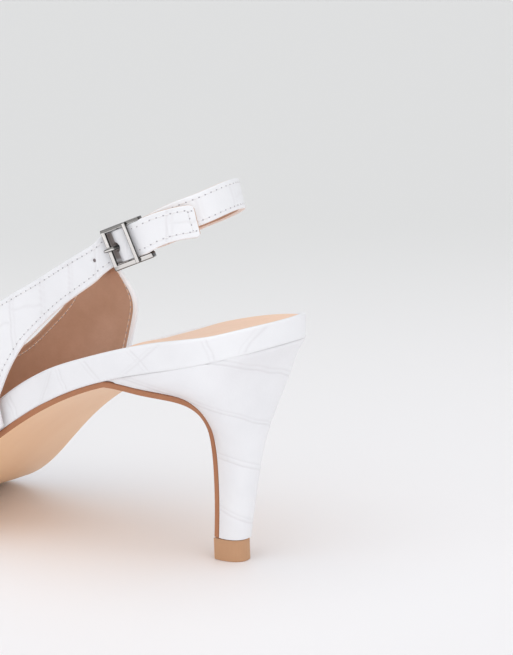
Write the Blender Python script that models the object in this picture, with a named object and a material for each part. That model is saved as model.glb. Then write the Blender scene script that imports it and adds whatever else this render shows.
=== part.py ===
"""Slingback court shoe for the left foot, EU 38, built as its separate pieces.

The tables are in millimetres and the meshes in metres. The origin is the centre of the top piece's
underside, on the floor; +X points to the toe, +Y to the outer (lateral) side and +Z up.
"""

import math

import bmesh
import bpy
import numpy as np

MM = 0.001
GAP = 0.3  # between neighbouring pieces

# Last bottom: a row for each station, from the seat's back to the toe tip.
SEAT_BACK_X = -20.6
TOE_TIP_X = 228.0
SEAT_ROUND = 25.4  # length of the rounded seat back
TOE_ROUND = 8.0  # length of the rounded toe tip
BOTTOM_COLUMNS = ("x", "feather", "lateral", "medial", "sole", "footbed")
BOTTOM_ROWS = (
    (-20.6, 65.0, 24.0, 24.0, 1.6, 6.1),
    (-8.0, 61.7, 24.1, 24.0, 1.6, 7.3),
    (4.8, 58.9, 24.1, 24.0, 1.6, 8.1),
    (34.8, 51.4, 23.4, 23.0, 1.6, 8.1),
    (64.8, 36.5, 24.6, 21.4, 1.7, 9.5),
    (80.0, 24.8, 29.2, 23.6, 1.8, 8.0),
    (94.8, 13.5, 35.0, 27.0, 2.0, 6.5),
    (112.0, 5.2, 40.4, 30.8, 2.3, 5.0),
    (128.0, 2.8, 40.8, 32.5, 2.5, 4.0),
    (146.0, 3.0, 36.9, 31.6, 2.5, 4.0),
    (163.0, 3.7, 31.0, 27.8, 2.5, 4.0),
    (180.0, 4.9, 23.6, 21.6, 2.5, 4.0),
    (196.0, 6.5, 16.3, 14.6, 2.5, 3.8),
    (212.0, 8.4, 8.6, 7.8, 2.5, 3.5),
    (228.0, 10.4, 1.5, 1.5, 2.5, 3.0),
)

# Upper: outer ridge line of the last and the two toplines, height over x.
RIDGE_ROWS = (
    (20.0, 130.0), (40.0, 119.0), (62.0, 105.0), (80.0, 92.0), (95.0, 79.0), (110.0, 65.0),
    (125.0, 51.8), (141.0, 41.0), (155.0, 35.0), (170.0, 30.8), (185.0, 27.5), (200.0, 24.6),
    (212.0, 22.2), (220.0, 20.4), (230.0, 18.0),
)
LATERAL_TOPLINE_ROWS = (
    (24.6, 94.2), (31.5, 90.2), (38.7, 86.4), (46.5, 82.1), (54.4, 78.0), (62.5, 73.7),
    (80.0, 64.6), (100.0, 54.8), (115.0, 48.2), (128.0, 43.3), (136.0, 41.2), (141.0, 40.6),
)
MEDIAL_TOPLINE_ROWS = (
    (66.5, 84.6), (70.0, 82.0), (74.0, 77.3), (78.0, 70.4), (82.0, 64.7), (87.0, 59.8),
    (91.5, 56.0), (98.0, 50.9), (104.0, 47.4), (112.0, 44.3), (122.0, 42.0), (132.0, 40.9),
    (141.0, 40.6),
)
THROAT_X = 141.0
WALL = 1.5  # upper leather and lining
FEATHER_OUT = 1.8  # outer face of the upper beyond the footbed's edge
ARCH_POWER = 2.3
NOSE_ROUND = 13.0
SOLE_PROUD = 0.9  # forepart sole edge beyond the last bottom
NOSE_TIP_X = TOE_TIP_X + FEATHER_OUT
BREAST_THICK = 1.6  # the sole's leather down the heel's breast

# Rear rows of each quarter: where a row starts on the lower or rear edge, and the x of its end on
# the topline. A start height of None is the feather line.
LATERAL_QUARTER_ROWS = (
    (104.0, None, 107.5), (94.0, None, 99.5), (84.0, None, 91.5), (74.0, None, 83.5),
    (64.4, None, 75.5), (65.0, 44.0, 72.3), (63.7, 47.8, 69.6), (61.2, 52.6, 66.2),
    (57.7, 57.9, 62.4), (53.3, 63.4, 58.0), (47.4, 68.7, 52.3), (39.6, 74.6, 44.3),
    (32.4, 79.2, 37.0), (27.4, 82.4, 31.8),
)
MEDIAL_QUARTER_ROWS = (
    (104.0, None, 108.5), (94.0, None, 101.8), (84.0, None, 96.0), (74.0, None, 90.8),
    (64.0, None, 86.0), (56.6, None, 81.8), (57.1, 48.0, 79.2), (56.3, 54.0, 76.8),
    (55.1, 60.0, 74.6), (54.6, 64.4, 72.8), (55.8, 68.2, 71.2), (58.4, 71.8, 69.8),
    (61.3, 75.6, 68.6), (63.8, 79.4, 67.6), (65.4, 82.6, 66.8),
)

# Heel: a ring for each row, from the seat down to the top piece.
HEEL_COLUMNS = ("front_x", "front_z", "front_half", "half", "rear_x", "rear_z")
HEEL_ROWS = (
    (26.0, 53.6, 22.9, 24.0, -20.4, 64.7),
    (20.5, 52.9, 22.1, 23.6, -18.6, 62.4),
    (15.0, 52.1, 21.3, 23.1, -16.7, 60.2),
    (8.0, 51.3, 19.8, 21.9, -14.6, 57.2),
    (2.5, 50.0, 18.0, 20.0, -13.0, 53.8),
    (-0.2, 47.2, 15.4, 17.2, -11.9, 50.0),
    (-0.9, 43.8, 12.6, 14.2, -11.1, 45.6),
    (-0.5, 39.2, 9.2, 10.8, -10.3, 40.3),
    (0.2, 34.1, 7.0, 8.0, -9.5, 34.7),
    (0.7, 29.5, 5.8, 6.4, -8.8, 29.7),
    (1.2, 22.5, 4.9, 5.3, -7.6, 22.5),
    (1.8, 14.5, 4.3, 4.7, -6.2, 14.5),
    (2.5, 6.7, 4.0, 4.3, -4.9, 6.7),
)
SEAT_POWER = 2.3
SEAT_DISH = 1.2  # how far the seat's middle lies below its edge
TOP_PIECE = {"front_x": 4.5, "rear_x": -4.5, "half": 4.1, "height": 6.4}

# Buckle: its own axes run to the rear, up and outwards from the middle of the frame.
BUCKLE_CENTRE = np.array((16.75, 22.6, 93.5))
BUCKLE_ALONG = np.array((-10.4, -4.25, 4.2))
BUCKLE_UP = np.array((3.4, 1.25, 10.7))
FRAME = {"half_length": 6.0, "half_height": 5.75, "lower": 6.25, "window": 4.75, "top": 0.7, "bottom": -2.6}
HINGE = {"along": -1.7, "out": -2.0, "radius": 0.45}
REAR_BAR = {"along": 5.4, "out": -1.6, "radius": 0.6}
KEEPER = {"from": 0.95, "to": 2.15, "under": 0.95, "over": 1.7}
PRONG_RADIUS = 0.45

# Straps
STRAP_HALF = 4.35
STRAP_THICK = 2.0
TAIL_THICK = 1.4
LOOP = {"x": 29.6, "a": 31.3, "b": 24.4}  # plan of the back loop's outer face, half an ellipse
LOOP_ROWS = (  # angle round the loop from the outer side, height of the strap's middle, outward lean
    (52.0, 100.2, 4.0), (67.0, 102.3, 8.0), (85.0, 104.3, 11.5), (103.0, 104.9, 13.0),
    (121.0, 103.9, 12.0), (140.0, 101.6, 8.0), (158.0, 98.6, 4.0), (175.0, 95.4, 0.0),
)
STRAP_INNER_ROWS = ((45.0, 88.2), (56.0, 85.0), (64.0, 81.0), (68.5, 78.0))  # inner side, x and middle height
TAIL_ROUTE = (  # along, out and up in the buckle's axes, under the front bar and over the rear one
    (-9.6, -1.85, -1.1), (-7.2, -2.0, -0.35), (-5.6, -2.25, 0.0), (-4.5, -2.25, 0.0), (-3.7, -1.8, 0.0),
    (-3.0, -1.05, 0.0), (-2.3, -0.6, 0.0), (-1.4, -0.42, 0.0), (-0.2, -0.38, 0.0), (1.4, -0.35, 0.0),
    (2.8, 0.2, 0.0), (4.0, 0.95, 0.0), (5.2, 1.3, 0.0),
)
TAIL_END_ANGLE = 61.5
TAIL_END_SLANT = 0.1
TAIL_DROOP = 2.6  # how far the tail's end hangs below the back strap
SPARE_HOLE = {"x": 27.0, "z": 88.3, "radius": 0.8}


def unit(vector):
    return vector / np.linalg.norm(vector)


class Spline:
    """Natural cubic curve through rows of numbers or points, straight beyond its ends."""

    def __init__(self, knots, values):
        self.knots = np.asarray(knots, float)
        self.values = np.asarray(values, float)
        count = len(self.knots)
        step = np.diff(self.knots)
        slope = (np.diff(self.values, axis=0).T / step).T
        matrix = np.eye(count)
        right = np.zeros_like(self.values)
        for i in range(1, count - 1):
            matrix[i, i - 1 : i + 2] = step[i - 1], 2 * (step[i - 1] + step[i]), step[i]
            right[i] = 6 * (slope[i] - slope[i - 1])
        self.bend = np.linalg.solve(matrix, right)
        self.step = step
        self.slope = slope

    def __call__(self, at):
        clamped = min(max(at, self.knots[0]), self.knots[-1])
        i = int(min(np.searchsorted(self.knots, clamped, side="right") - 1, len(self.step) - 1))
        h = self.step[i]
        t = clamped - self.knots[i]
        first = self.slope[i] - h * (2 * self.bend[i] + self.bend[i + 1]) / 6
        value = (
            self.values[i] + first * t + self.bend[i] * t * t / 2
            + (self.bend[i + 1] - self.bend[i]) * t**3 / (6 * h)
        )
        end_slope = first + self.bend[i] * t + (self.bend[i + 1] - self.bend[i]) * t * t / (2 * h)
        return value + end_slope * (at - clamped)


def table_curves(columns, rows):
    return {name: Spline([row[0] for row in rows], [row[k] for row in rows])
            for k, name in enumerate(columns)}


BOTTOM = table_curves(BOTTOM_COLUMNS, BOTTOM_ROWS)
RIDGE = Spline(*zip(*RIDGE_ROWS))
TOPLINE = {"lateral": Spline(*zip(*LATERAL_TOPLINE_ROWS)), "medial": Spline(*zip(*MEDIAL_TOPLINE_ROWS))}
SIGN = {"lateral": 1.0, "medial": -1.0}


def smoothstep(low, high, x):
    t = min(max((x - low) / (high - low), 0.0), 1.0)
    return t * t * (3 - 2 * t)


def eased(count, start_ease=True, end_ease=True):
    """Numbers from 0 to 1, closer together at the eased ends."""
    angles = np.linspace(0 if start_ease else math.pi / 2, math.pi if end_ease else math.pi / 2, count)
    values = -np.cos(angles)
    return (values - values[0]) / (values[-1] - values[0])


def rounded_end(along, length, power):
    """Share of the full width left at a distance into a rounded end."""
    t = min(max(along / length, 0.0), 1.0)
    return max(1 - t**power, 0.0) ** (1 / power)


def half_width(side, x, grow=0.0):
    """Half width of the last bottom, grown outwards all round by some millimetres."""
    width = BOTTOM[side](x) + grow
    toe = rounded_end(x - (TOE_TIP_X - TOE_ROUND), TOE_ROUND + grow, 2.0)
    seat = rounded_end((SEAT_BACK_X + SEAT_ROUND) - x, SEAT_ROUND + grow, SEAT_POWER)
    return max(width, 0.0) * toe * seat


# ---- mesh helpers


def material(name, colour, roughness, metallic=0.0):
    made = bpy.data.materials.new(name)
    made.use_nodes = True
    shader = made.node_tree.nodes["Principled BSDF"]
    shader.inputs["Base Color"].default_value = (*colour, 1.0)
    shader.inputs["Roughness"].default_value = roughness
    shader.inputs["Metallic"].default_value = metallic
    return made


def finish(name, mesh_data, look, sharp_angle=40.0):
    """Weld, orient and shade a bmesh, and put it in the scene under its node's name."""
    bmesh.ops.remove_doubles(mesh_data, verts=mesh_data.verts, dist=2e-7)
    bmesh.ops.dissolve_degenerate(mesh_data, edges=mesh_data.edges, dist=2e-7)
    bmesh.ops.triangulate(mesh_data, faces=mesh_data.faces)
    bmesh.ops.recalc_face_normals(mesh_data, faces=mesh_data.faces)
    if mesh_data.calc_volume(signed=True) < 0:
        bmesh.ops.reverse_faces(mesh_data, faces=mesh_data.faces)
    mesh = bpy.data.meshes.new(name)
    mesh_data.to_mesh(mesh)
    mesh_data.free()
    mesh.shade_smooth()
    mesh.set_sharp_from_angle(angle=math.radians(sharp_angle))
    mesh.materials.append(look)
    made = bpy.data.objects.new(name, mesh)
    bpy.context.collection.objects.link(made)
    return made


def loft(name, sections, look, sharp_angle=40.0):
    """A closed body through closed sections of equal point count, given in millimetres."""
    body = bmesh.new()
    rings = [[body.verts.new(np.asarray(point) * MM) for point in section] for section in sections]
    count = len(rings[0])
    for ring, following in zip(rings, rings[1:]):
        for j in range(count):
            k = (j + 1) % count
            body.faces.new((ring[j], ring[k], following[k], following[j]))
    for ring, section in ((rings[0], sections[0]), (rings[-1], sections[-1])):
        if np.ptp(np.asarray(section)[:, 1]) > 0.01:
            body.faces.new(ring)
    return finish(name, body, look, sharp_angle)


# ---- sole, footbed, heel


def plan_stations():
    """x of each station, closer together at the rounded seat and toe."""
    seat = SEAT_BACK_X + SEAT_ROUND * eased(9, True, False)
    middle = np.linspace(seat[-1], TOE_TIP_X - TOE_ROUND, 45)[1:-1]
    toe = TOE_TIP_X - TOE_ROUND * eased(7, True, False)[::-1]
    return np.concatenate((seat, middle, toe))


def footbed_side_inset(x):
    """The footbed's edge is bare at the heel and steps in where the upper's wall covers it."""
    return 0.9 * smoothstep(46.0, 54.0, x)


def spread(x, grow_back, grow_front):
    """Move a station so that the stations span a bottom grown by these amounts at its two ends."""
    share = (x - SEAT_BACK_X) / (TOE_TIP_X - SEAT_BACK_X)
    return x - grow_back + share * (grow_back + grow_front)


def footbed():
    hidden = footbed_side_inset(TOE_TIP_X)
    sections = []
    for station in plan_stations():
        lateral = []
        medial = []
        for grow, share in ((-0.5, 0.0), (0.0, 0.1), (0.0, 0.8), (-0.35, 0.95), (-1.4, 1.0)):
            x = spread(station, grow, grow - hidden)
            total = grow - footbed_side_inset(x)
            z = BOTTOM["feather"](x) + share * BOTTOM["footbed"](x)
            lateral.append((x, half_width("lateral", x, total), z))
            medial.append((x, -half_width("medial", x, total), z))
        x, lateral_half, z = lateral[-1]
        medial_half = medial[-1][1]
        dish = SEAT_DISH * (1 - smoothstep(20.0, 60.0, x)) * rounded_seat(x)
        halfway = z - 0.75 * dish
        top = [(x, 0.5 * lateral_half, halfway), (x, 0.0, z - dish), (x, 0.5 * medial_half, halfway)]
        sections.append(lateral + top + medial[::-1])
    return loft("footbed", sections, LOOKS["sock"])


def rounded_seat(x):
    """1 inside the seat, 0 at its back edge, so that the dish ends there."""
    return rounded_end((SEAT_BACK_X + SEAT_ROUND) - x, SEAT_ROUND - 1.4, SEAT_POWER)


HEEL_SPLINE = Spline(range(len(HEEL_ROWS)), HEEL_ROWS)
HEEL_STEPS = np.linspace(0, len(HEEL_ROWS) - 1, 2 * len(HEEL_ROWS) - 1)
HEEL = [dict(zip(HEEL_COLUMNS, HEEL_SPLINE(step))) for step in HEEL_STEPS]


def seat_underside(x):
    return BOTTOM["feather"](x) - GAP


def heel_ring(ring, share):
    """One ring of the heel; share runs from 0 at the seat to 1 at the top piece."""
    half_points = 13
    round_from = 0.455 + (0.35 - 0.455) * share
    sag = 1.0 if share == 0 else 0.0
    outline = []
    for k in range(half_points):
        if k < 4:
            u = round_from * k / 4
            v = ring["front_half"] + (ring["half"] - ring["front_half"]) * math.sin(math.pi / 2 * k / 4)
        else:
            turn = math.pi / 2 * (k - 4) / (half_points - 5)
            u = round_from + (1 - round_from) * math.sin(turn)
            v = ring["half"] * rounded_end(math.sin(turn), 1.0, SEAT_POWER)
        x = ring["front_x"] + u * (ring["rear_x"] - ring["front_x"])
        chord = ring["front_z"] + u * (ring["rear_z"] - ring["front_z"])
        outline.append((x, v, chord + sag * (seat_underside(x) - chord)))
    lateral = outline
    medial = [(x, -y, z) for x, y, z in outline[:-1]][::-1]
    return lateral + medial


def heel():
    sections = [heel_ring(ring, i / (len(HEEL) - 1)) for i, ring in enumerate(HEEL)]
    return loft("heel", sections, LOOKS["upper"], 60.0)


def top_piece():
    size = TOP_PIECE
    row = (size["front_x"], 0.0, size["half"] - 0.25, size["half"], size["rear_x"], 0.0)
    base = dict(zip(HEEL_COLUMNS, row))
    sections = []
    for height, inset in ((0.0, 0.25), (0.25, 0.0), (size["height"], 0.0)):
        ring = dict(base, front_z=height, rear_z=height)
        ring["front_x"] -= inset
        ring["rear_x"] += inset
        ring["front_half"] -= inset
        ring["half"] -= inset
        sections.append(heel_ring(ring, 1.0))
    return loft("top_piece", sections, LOOKS["top_piece"])


def outsole_path():
    """Rows of the outsole's inner face from the toe back to the arch and down the heel's breast:
    x, z, lateral half width, medial half width, thickness."""
    rows = []
    breast_top = HEEL[0]["front_x"]
    for station in plan_stations()[::-1]:
        x = spread(station, 0.0, SOLE_PROUD)
        if x > breast_top + 4:
            grow = -0.6 + (0.6 + SOLE_PROUD) * smoothstep(70.0, 115.0, x)
            rows.append((x, seat_underside(x), half_width("lateral", x, grow),
                         half_width("medial", x, grow), BOTTOM["sole"](x)))
    for ring in HEEL[1:]:
        rows.append((ring["front_x"], ring["front_z"], ring["front_half"], ring["front_half"], BREAST_THICK))
    return rows


def outsole():
    rows = outsole_path()
    sections = []
    for i, (x, z, lateral, medial, thick) in enumerate(rows):
        before = rows[max(i - 1, 0)]
        after = rows[min(i + 1, len(rows) - 1)]
        tangent = unit(np.array((after[0] - before[0], 0.0, after[1] - before[1])))
        away = np.array((-tangent[2], 0.0, tangent[0]))
        if away[2] > 0.2 or (abs(away[2]) <= 0.2 and away[0] < 0):
            away = -away
        on_breast = smoothstep(HEEL[0]["front_x"] + 3, HEEL[0]["front_x"] - 1, x) if x > 20 else 1.0
        inner = np.array((x, 0.0, z)) + away * GAP * on_breast
        outer = inner + away * thick
        outer[2] = max(outer[2], 0.0) if x > 60 else outer[2]
        edge = 0.35
        section = []
        for side, half in ((1, lateral), (-1, medial)):
            points = [
                inner + (0, side * half, 0),
                inner + away * (thick - edge) + (0, side * half, 0),
                outer + (0, side * max(half - edge, 0.0), 0),
            ]
            section += points if side > 0 else points[::-1]
        sections.append(section)
    return loft("outsole", sections, LOOKS["sole"])


# ---- upper

LATERAL_WALL = Spline((20.0, 28.0, 36.0, 48.0, 62.0, 90.0), (23.9, 25.1, 25.7, 26.1, 26.3, 27.5))
MEDIAL_WALL = 26.4


def plan_wall(side, x):
    """Outer half width of the quarters and the strap above the footbed."""
    return LATERAL_WALL(x) if side == "lateral" else MEDIAL_WALL


def ridge_middle(x):
    """y of the ridge, which lies on the medial side of the middle behind the toe."""
    return -5.0 * smoothstep(215.0, 150.0, x)


def surface(side, x, turn):
    """Outer face of the upper: x, and an angle from 0 at the feather line to 90 degrees at the ridge."""
    base = BOTTOM["feather"](x)
    nose = rounded_end(x - (NOSE_TIP_X - NOSE_ROUND), NOSE_ROUND, 2.0)
    height = (RIDGE(x) - base) * nose
    foot = half_width(side, x, FEATHER_OUT)
    ridge_y = SIGN[side] * ridge_middle(x)
    z = base + height * math.sin(turn) ** (2 / ARCH_POWER)
    arch = ridge_y + (foot - ridge_y) * math.cos(turn) ** (2 / ARCH_POWER)
    rise = z - base
    wall = foot + (plan_wall(side, x) - foot) * smoothstep(0.0, 32.0, rise)
    wall += 1.3 * math.sin(math.pi * min(rise / 44.0, 1.0)) * smoothstep(48.0, 60.0, x)
    blend = smoothstep(74.0, 118.0, x)
    return np.array((x, SIGN[side] * ((1 - blend) * wall + blend * arch), z))


def turn_at(x, z):
    base = BOTTOM["feather"](x)
    share = min(max((z - base) / (RIDGE(x) - base), 0.0), 1.0)
    return math.asin(share ** (ARCH_POWER / 2))


SIDE_CELLS = 9  # cells from the feather line to the ridge or the topline


def row_points(side, low_x, low_turn, high_x, high_turn):
    shares = np.linspace(0.0, 1.0, SIDE_CELLS + 1)
    return [surface(side, low_x + (high_x - low_x) * t, low_turn + (high_turn - low_turn) * t)
            for t in shares]


def vamp_rows(side):
    """Rows from the toe tip to the throat, and on along the topline to where the rear rows start."""
    toe = NOSE_TIP_X - NOSE_ROUND * eased(8, True, False)
    closed = np.concatenate((toe, np.linspace(toe[-1], THROAT_X, 13)[1:]))
    rows = [row_points(side, x, 0.0, x, math.pi / 2) for x in closed]
    for back in (0.7, 2.4, 5.0, 8.5, 13.0, 18.0, 23.5, 29.0):
        x = THROAT_X - back
        rows.append(row_points(side, x, 0.0, x, turn_at(x, TOPLINE[side](x))))
    return rows, len(closed)


def quarter_rows(side):
    table = LATERAL_QUARTER_ROWS if side == "lateral" else MEDIAL_QUARTER_ROWS
    rows = []
    for low_x, low_z, high_x in table:
        low = 0.0 if low_z is None else turn_at(low_x, low_z)
        rows.append(row_points(side, low_x, low, high_x, turn_at(high_x, TOPLINE[side](high_x))))
    return rows


BUCKLE_L = unit(BUCKLE_ALONG)
BUCKLE_N = unit(np.cross(BUCKLE_ALONG, BUCKLE_UP))
BUCKLE_W = np.cross(BUCKLE_N, BUCKLE_L)


def buckle_point(along, out, up=0.0):
    return BUCKLE_CENTRE + BUCKLE_L * along + BUCKLE_N * out + BUCKLE_W * up


def loop_plan(angle):
    t = math.radians(angle)
    return LOOP["x"] - LOOP["a"] * math.sin(t), LOOP["b"] * math.cos(t)


def base_curve():
    """Outer face of the back strap, along its middle: from the buckle's rear bar round the heel."""
    points = [buckle_point(*at) for at in ((3.2, 0.3, 0.0), (5.4, 0.3, 0.1), (7.8, 0.0, 0.55))]
    leans = [0.0, 0.0, 1.0]
    for angle, z, lean in LOOP_ROWS:
        points.append(np.array((*loop_plan(angle), z)))
        leans.append(lean)
    for x, z in STRAP_INNER_ROWS:
        points.append(np.array((x, -LOOP["b"], z)))
        leans.append(0.0)
    points = np.array(points)
    lengths = np.concatenate(([0.0], np.cumsum(np.linalg.norm(np.diff(points, axis=0), axis=1))))
    return Spline(lengths, points), Spline(lengths, leans), lengths


BASE, LEAN, BASE_LENGTHS = base_curve()


def ribbon_frame(curve, at, lean):
    """Tangent, outward normal and upward width direction of a strap at a length along its curve."""
    tangent = unit(curve(at + 0.2) - curve(at - 0.2))
    flat = unit(np.array((tangent[1], -tangent[0], 0.0)))
    outward = flat if np.dot(flat, curve(at) - (28.0, 0.0, curve(at)[2])) > 0 else -flat
    tilt = math.radians(lean)
    width = np.array((0.0, 0.0, 1.0)) * math.cos(tilt) - outward * math.sin(tilt)
    width = unit(width - np.dot(width, tangent) * tangent)
    return tangent, unit(np.cross(width, tangent) * np.sign(np.dot(np.cross(width, tangent), outward))), width


def tail_rows():
    """The lateral strap beyond the quarter: through the buckle and along the back strap."""
    rows = []
    for along, out, up in TAIL_ROUTE:
        middle = buckle_point(along, out + TAIL_THICK / 2, up)
        turned = unit(BUCKLE_W + BUCKLE_L * 0.16 * smoothstep(-5.5, -10.0, along))
        rows.append([middle + turned * STRAP_HALF * t for t in np.linspace(-1, 1, SIDE_CELLS + 1)])
    start = 4.2
    finish_at = next(s for s in np.arange(5.0, 60.0, 0.1) if BASE(s)[0] < loop_plan(TAIL_END_ANGLE)[0])
    for share, width in ((0.0, 1), (0.12, 1), (0.25, 1), (0.4, 1), (0.55, 1), (0.7, 1), (0.85, 1),
                         (0.94, 0.985), (0.985, 0.9), (1.0, 0.72)):
        at = start + (finish_at - start) * share
        tangent, outward, up = ribbon_frame(BASE, at, LEAN(at))
        middle = BASE(at) + outward * (GAP + TAIL_THICK) - up * TAIL_DROOP * share**1.2
        slanted = up * width + tangent * TAIL_END_SLANT * share**3
        rows.append([middle + slanted * STRAP_HALF * t for t in np.linspace(-1, 1, SIDE_CELLS + 1)])
    return rows


def row_normals(rows, i, side):
    """Outward normals along one row, from its neighbours."""
    before = np.array(rows[max(i - 1, 0)])
    after = np.array(rows[min(i + 1, len(rows) - 1)])
    row = np.array(rows[i])
    across = np.gradient(row, axis=0)
    normals = np.cross(across, before - after) * SIGN[side]
    lengths = np.linalg.norm(normals, axis=1, keepdims=True)
    return normals / np.maximum(lengths, 1e-9)


def inner_rows(rows, side, first_strap_row):
    """The same rows set in by the wall, level at the feather line and pointing back at the tip."""
    inset = []
    for i, row in enumerate(rows):
        normals = row_normals(rows, i, side)
        if i == 0:
            normals[:] = (1.0, 0.0, 0.0)
        on_strap = smoothstep(first_strap_row - 4, first_strap_row, i)
        thick = WALL + (TAIL_THICK - WALL) * on_strap
        if i < first_strap_row - 9:
            normals[0][2] = 0.0
            normals[0] = unit(normals[0])
        inset.append([point - normal * thick for point, normal in zip(row, normals)])
    return inset


def side_sheet(side):
    rows, closed = vamp_rows(side)
    rows += quarter_rows(side)
    first_strap_row = len(rows)
    if side == "lateral":
        rows += tail_rows()
    inner = inner_rows(rows, side, first_strap_row if side == "lateral" else 10**6)
    for i in range(closed):
        rows[i][-1] = rows[i][-1] * (1, 0, 1) + (0, ridge_middle(rows[i][-1][0]), 0)
        inner[i][-1] = rows[i][-1] - np.array((0.0, 0.0, WALL)) if i else inner[i][-1]
    return rows, inner, closed


def upper():
    """Both sides as one sheet with its inner face, joined along the ridge ahead of the throat."""
    body = bmesh.new()
    made = {}

    def vertex(point):
        key = tuple(np.round(point, 4))
        if key not in made:
            made[key] = body.verts.new(np.asarray(point) * MM)
        return made[key]

    def face(points):
        corners = []
        for point in points:
            if vertex(point) not in corners:
                corners.append(vertex(point))
        if len(corners) > 2:
            body.faces.new(corners)

    for side in ("lateral", "medial"):
        outer, inner, closed = side_sheet(side)
        last = len(outer) - 1
        for i in range(last):
            for j in range(SIDE_CELLS):
                face((outer[i][j], outer[i][j + 1], outer[i + 1][j + 1], outer[i + 1][j]))
                face((inner[i][j], inner[i + 1][j], inner[i + 1][j + 1], inner[i][j + 1]))
            face((outer[i][0], outer[i + 1][0], inner[i + 1][0], inner[i][0]))
            if i >= closed - 1:
                face((outer[i][-1], outer[i + 1][-1], inner[i + 1][-1], inner[i][-1]))
        for j in range(SIDE_CELLS):
            face((outer[last][j], outer[last][j + 1], inner[last][j + 1], inner[last][j]))
    return finish("upper", body, LOOKS["upper"], 50.0)


# ---- straps and buckle


def back_strap():
    """The strap round the heel; its outer end is folded round the buckle's rear bar and lapped."""
    thin = 1.0
    wrap = REAR_BAR["radius"] + GAP + thin / 2
    middles = [((10.2, -3.05), thin), ((7.6, -3.3), thin)]
    for turn in np.linspace(-90, -270, 9):
        t = math.radians(turn)
        at = (REAR_BAR["along"] + wrap * math.cos(t), REAR_BAR["out"] + wrap * math.sin(t))
        middles.append((at, thin))
    sections = []
    route = [buckle_point(*at) for at, _ in middles]
    for i, ((at, thick), point) in enumerate(zip(middles, route)):
        before = route[max(i - 1, 0)]
        after = route[min(i + 1, len(route) - 1)]
        tangent = unit(after - before) if i < len(route) - 1 else BUCKLE_L
        normal = np.cross(BUCKLE_W, tangent)
        sections.append(ribbon_section(point, normal, BUCKLE_W, thick))
    end = BASE_LENGTHS[-1]
    for at in np.concatenate((np.linspace(3.2, 9.0, 6), np.linspace(10.5, end, 58))):
        _, outward, up = ribbon_frame(BASE, at, LEAN(at))
        thick = thin + (STRAP_THICK - thin) * smoothstep(2.2, 8.0, at)
        sections.append(ribbon_section(BASE(at) - outward * thick / 2, -outward, up, thick))
    return loft("back_strap", sections, LOOKS["upper"], 50.0)


def ribbon_section(middle, normal, up, thick):
    """A strap's section with its two edges rounded a little."""
    soft = 0.25
    half = thick / 2
    profile = ((-half, -STRAP_HALF + soft), (-half + soft, -STRAP_HALF), (half - soft, -STRAP_HALF),
               (half, -STRAP_HALF + soft), (half, STRAP_HALF - soft), (half - soft, STRAP_HALF),
               (-half + soft, STRAP_HALF), (-half, STRAP_HALF - soft))
    return [middle + normal * n + up * w for n, w in profile]


def buckle_box(name, along, out, up, look):
    """A box between pairs of numbers in the buckle's axes, its edges rounded a little."""
    sections = []
    for a in along:
        sections.append([buckle_point(a, out[p], up[q]) for p, q in ((0, 0), (1, 0), (1, 1), (0, 1))])
    made = loft(name, sections, look, 30.0)
    modifier = made.modifiers.new("edges", "BEVEL")
    modifier.width = 0.22 * MM
    modifier.segments = 2
    modifier.limit_method = "ANGLE"
    return made


def rod(name, along, out, radius, half, look, sides=12):
    """A round bar across the frame."""
    sections = []
    for up in (-half, half):
        sections.append([buckle_point(along + radius * math.cos(t), out + radius * math.sin(t), up)
                         for t in np.linspace(0, 2 * math.pi, sides, endpoint=False)])
    return loft(name, sections, look)


def hide_tool(tool):
    tool.hide_render = True
    tool.display_type = "WIRE"


def combine(target, tool, operation):
    modifier = target.modifiers.new(tool.name, "BOOLEAN")
    modifier.operation = operation
    modifier.object = tool
    hide_tool(tool)


def buckle_frame():
    f = FRAME
    look = LOOKS["metal"]
    length = (-f["half_length"], f["half_length"])
    depth = (f["bottom"], f["top"])
    upper_wall = (f["window"], f["half_height"])
    lower_wall = (-f["lower"], -f["window"])
    inside = f["window"] + 0.5
    keeper = (KEEPER["from"], KEEPER["to"])
    foot = (0.3, KEEPER["over"] - 0.1)
    front = (-f["half_length"] + 0.08, -f["half_length"] + 1.25)
    frame = buckle_box("buckle_frame", length, depth, upper_wall, look)
    pieces = [
        buckle_box("front_bar", front, (-0.5, f["top"] - 0.06), (-inside, inside), look),
        rod("hinge_bar", HINGE["along"], HINGE["out"], HINGE["radius"], inside, look),
        rod("rear_bar", REAR_BAR["along"], REAR_BAR["out"], REAR_BAR["radius"], inside, look),
        buckle_box("keeper_foot_upper", keeper, foot, (f["window"] + 0.06, f["half_height"] - 0.06), look),
        buckle_box("keeper_foot_lower", keeper, foot, (0.06 - f["lower"], -0.06 - f["window"]), look),
        buckle_box("lower_wall", length, depth, lower_wall, look),
        buckle_box("keeper_bar", (keeper[0] + 0.05, keeper[1] - 0.05), (KEEPER["under"], KEEPER["over"]),
                   (-f["lower"] + 0.1, f["half_height"] - 0.1), look),
    ]
    for piece in pieces:
        combine(frame, piece, "UNION")
    return frame


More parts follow.
